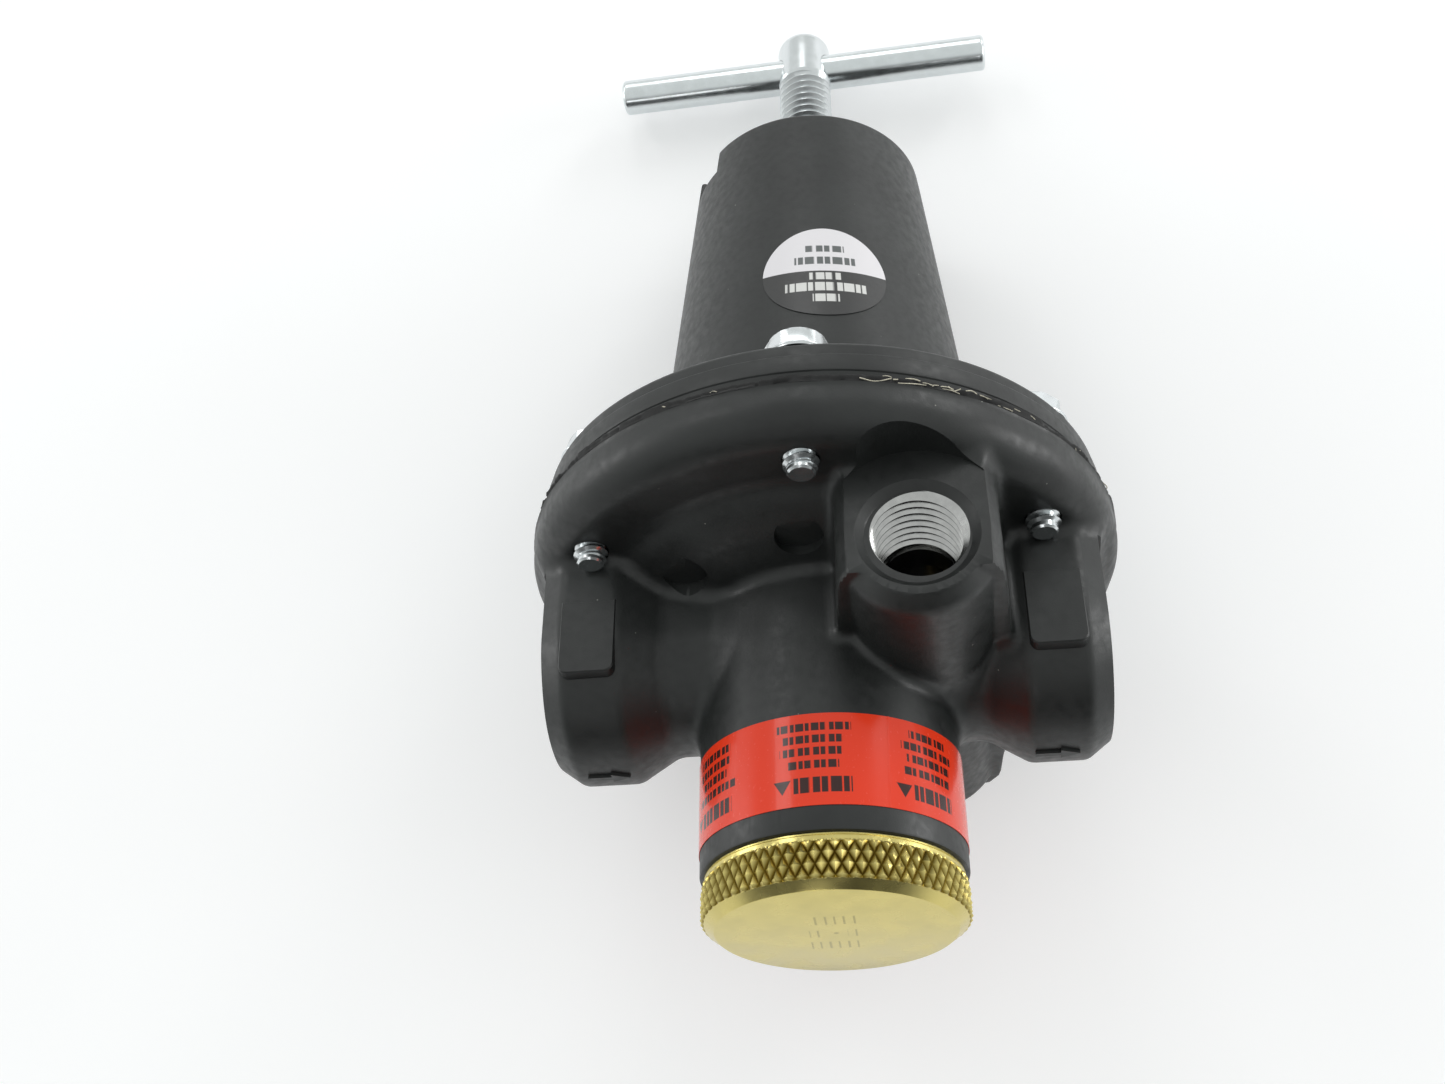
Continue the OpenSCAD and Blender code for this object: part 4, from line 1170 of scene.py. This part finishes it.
def make_stage():
    """Pale table behind the part. Seen from below it lets the view through."""
    finish = Finish("pale_table", (0.86, 0.86, 0.865), Roughness=0.75, Emission_Strength=0.21,
                    Emission_Color=(1.0, 1.0, 1.0, 1))
    cloud = finish.noise(60)
    finish.set("Base Color", finish.blend(cloud, (0.85, 0.85, 0.855), (0.88, 0.88, 0.885)))
    clear = finish.node("ShaderNodeBsdfTransparent")
    facing = finish.node("ShaderNodeNewGeometry").outputs["Backfacing"]
    sides = {0: facing, 1: finish.shader.outputs[0], 2: clear.outputs[0]}
    choice = finish.node("ShaderNodeMixShader", sides)
    finish.tree.links.new(choice.outputs[0], finish.tree.nodes["Material Output"].inputs["Surface"])
    side = Vector((1, 0, 0))
    corners = [TABLE_POINT + a * side * TABLE_HALF + b * TABLE_FAR * TABLE_HALF
               for a, b in ((-1, -1), (1, -1), (1, 1), (-1, 1))]
    mesh = bpy.data.meshes.new("table")
    mesh.from_pydata(corners, [], [(0, 1, 2, 3)])
    if mesh.polygons[0].normal.dot(TABLE_UP) < 0:
        mesh.flip_normals()
    add_object("table", mesh, finish.material)


def make_world():
    """Pale room, darker where the photographer would stand, and an even white seen straight."""
    world = bpy.data.worlds.new("room")
    world.use_nodes = True
    bpy.context.scene.world = world
    tree = world.node_tree
    way = add_node(tree, "ShaderNodeTexCoord").outputs["Generated"]
    toward = add_node(tree, "ShaderNodeVectorMath", {0: way, 1: table_way(180, 5)}, operation="DOT_PRODUCT")
    wide, narrow = (math.cos(math.radians(a)) for a in (60, 28))
    spread = {0: toward.outputs["Value"], 1: wide, 2: narrow, 3: ROOM_BRIGHT, 4: ROOM_DARK}
    spread = add_node(tree, "ShaderNodeMapRange", spread, interpolation_type="SMOOTHSTEP")
    room = add_node(tree, "ShaderNodeBackground", {0: (0.97, 1.0, 0.99, 1), 1: spread.outputs[0]})
    plain = add_node(tree, "ShaderNodeBackground", {0: (0.955, 0.955, 0.96, 1), 1: 1.0})
    seen = add_node(tree, "ShaderNodeLightPath").outputs["Is Camera Ray"]
    choice = add_node(tree, "ShaderNodeMixShader", {0: seen, 1: room.outputs[0], 2: plain.outputs[0]})
    tree.links.new(choice.outputs[0], tree.nodes["World Output"].inputs["Surface"])


def make_light(name, way, width, depth, power):
    """A soft box that faces the part, in a direction given along the frame's axes."""
    data = bpy.data.lights.new(name, "AREA")
    data.shape = "RECTANGLE"
    data.size, data.size_y = width, depth
    data.energy = power
    lamp = bpy.data.objects.new(name, data)
    way = Vector(way).normalized()
    lamp.location = LIGHT_AIM + way * LIGHT_DISTANCE
    lamp.rotation_euler = way.to_track_quat("Z", "Y").to_euler()
    bpy.context.scene.collection.objects.link(lamp)


def make_lights():
    """Soft boxes in an arc over the part, on the handle's side of the camera, and a small low one."""
    boxes = (
        ("far_left_box", (-0.95, -0.25, 0.12), 0.35, 0.45, 2.0),
        ("left_box", (-0.56, -0.75, 0.35), 0.24, 0.35, 0.8),
        ("middle_box", (-0.05, -0.75, 0.65), 0.30, 0.35, 0.9),
        ("right_box", (0.63, -0.56, 0.54), 0.26, 0.35, 1.7),
        ("far_right_box", (0.96, -0.20, 0.04), 0.35, 0.45, 3.2),
        ("low_box", (-0.14, -0.33, -0.93), 0.34, 0.12, 0.35),
    )
    for box in boxes:
        make_light(*box)


# ------------------------------------------------------------------ the whole


def finish_inner_parts():
    """Materials for the CAD nodes that stay: all of them sit inside the castings."""
    plate = plated_steel("plate_zinc", (0.62, 0.63, 0.64), 0.34)
    brass = turned_metal("inner_brass", (0.72, 0.55, 0.24), 0.32)
    spring = plated_steel("spring_wire", (0.36, 0.36, 0.37), 0.36)
    stem = turned_metal("ground_steel", (0.64, 0.64, 0.64), 0.2, ring_mm=0.1)
    seal = rubber("seal_compound", (0.02, 0.02, 0.02), 0.6)
    guide = moulded_plastic("guide_moulding", (0.72, 0.70, 0.64))
    chosen = (
        (plate, ("upper_diaphragm_plate", "lower_diaphragm_plate", "hub_nut", "spring_button")),
        (brass, ("relief_hub", "valve_seat", "valve_poppet", "aspirator_tube")),
        (spring, ("range_spring", "valve_spring")), (stem, ("valve_stem",)),
        (seal, ("valve_disc", "plug_o_ring", "stem_o_ring")), (guide, ("stem_guide",)),
    )
    for material, names in chosen:
        for name in names:
            slots = frame["nodes"][name].data.materials
            slots.clear()
            slots.append(material)


def main():
    """Builds the whole scene, the camera first."""
    make_camera()
    bpy.context.scene.view_settings.view_transform = "Standard"
    make_stage()
    make_world()
    make_lights()
    coat_colour = (0.011, 0.0125, 0.012)
    zinc = plated_steel("screw_plate", (0.72, 0.75, 0.76), 0.22, 0.05)
    knurl = (PLUG_R - KNURL_DEPTH, PLUG_R, KNURL_LOW, KNURL_HIGH)
    make_body(black_casting("body_coat", coat_colour, 0.43), bare_thread_metal())
    make_bonnet(black_casting("bonnet_coat", coat_colour, 0.43))
    make_diaphragm(rubber("diaphragm_edge", (0.007, 0.007, 0.007), 0.8))
    make_fibres(fibre())
    make_bonnet_screws(zinc)
    make_adjusting_screw(zinc)
    make_t_bar(plated_steel("bar_plate", (0.74, 0.78, 0.79), 0.21, 0.05))
    make_bottom_plug(turned_metal("plug_turned_brass", (0.66, 0.56, 0.20), 0.25, knurl=knurl))
    make_band_label(band_label_finish())
    label_z = sum(corner.z for corner in box_mm("round_label")) / 2
    make_round_label(round_label_finish(label_z), label_z)
    finish_inner_parts()


main()
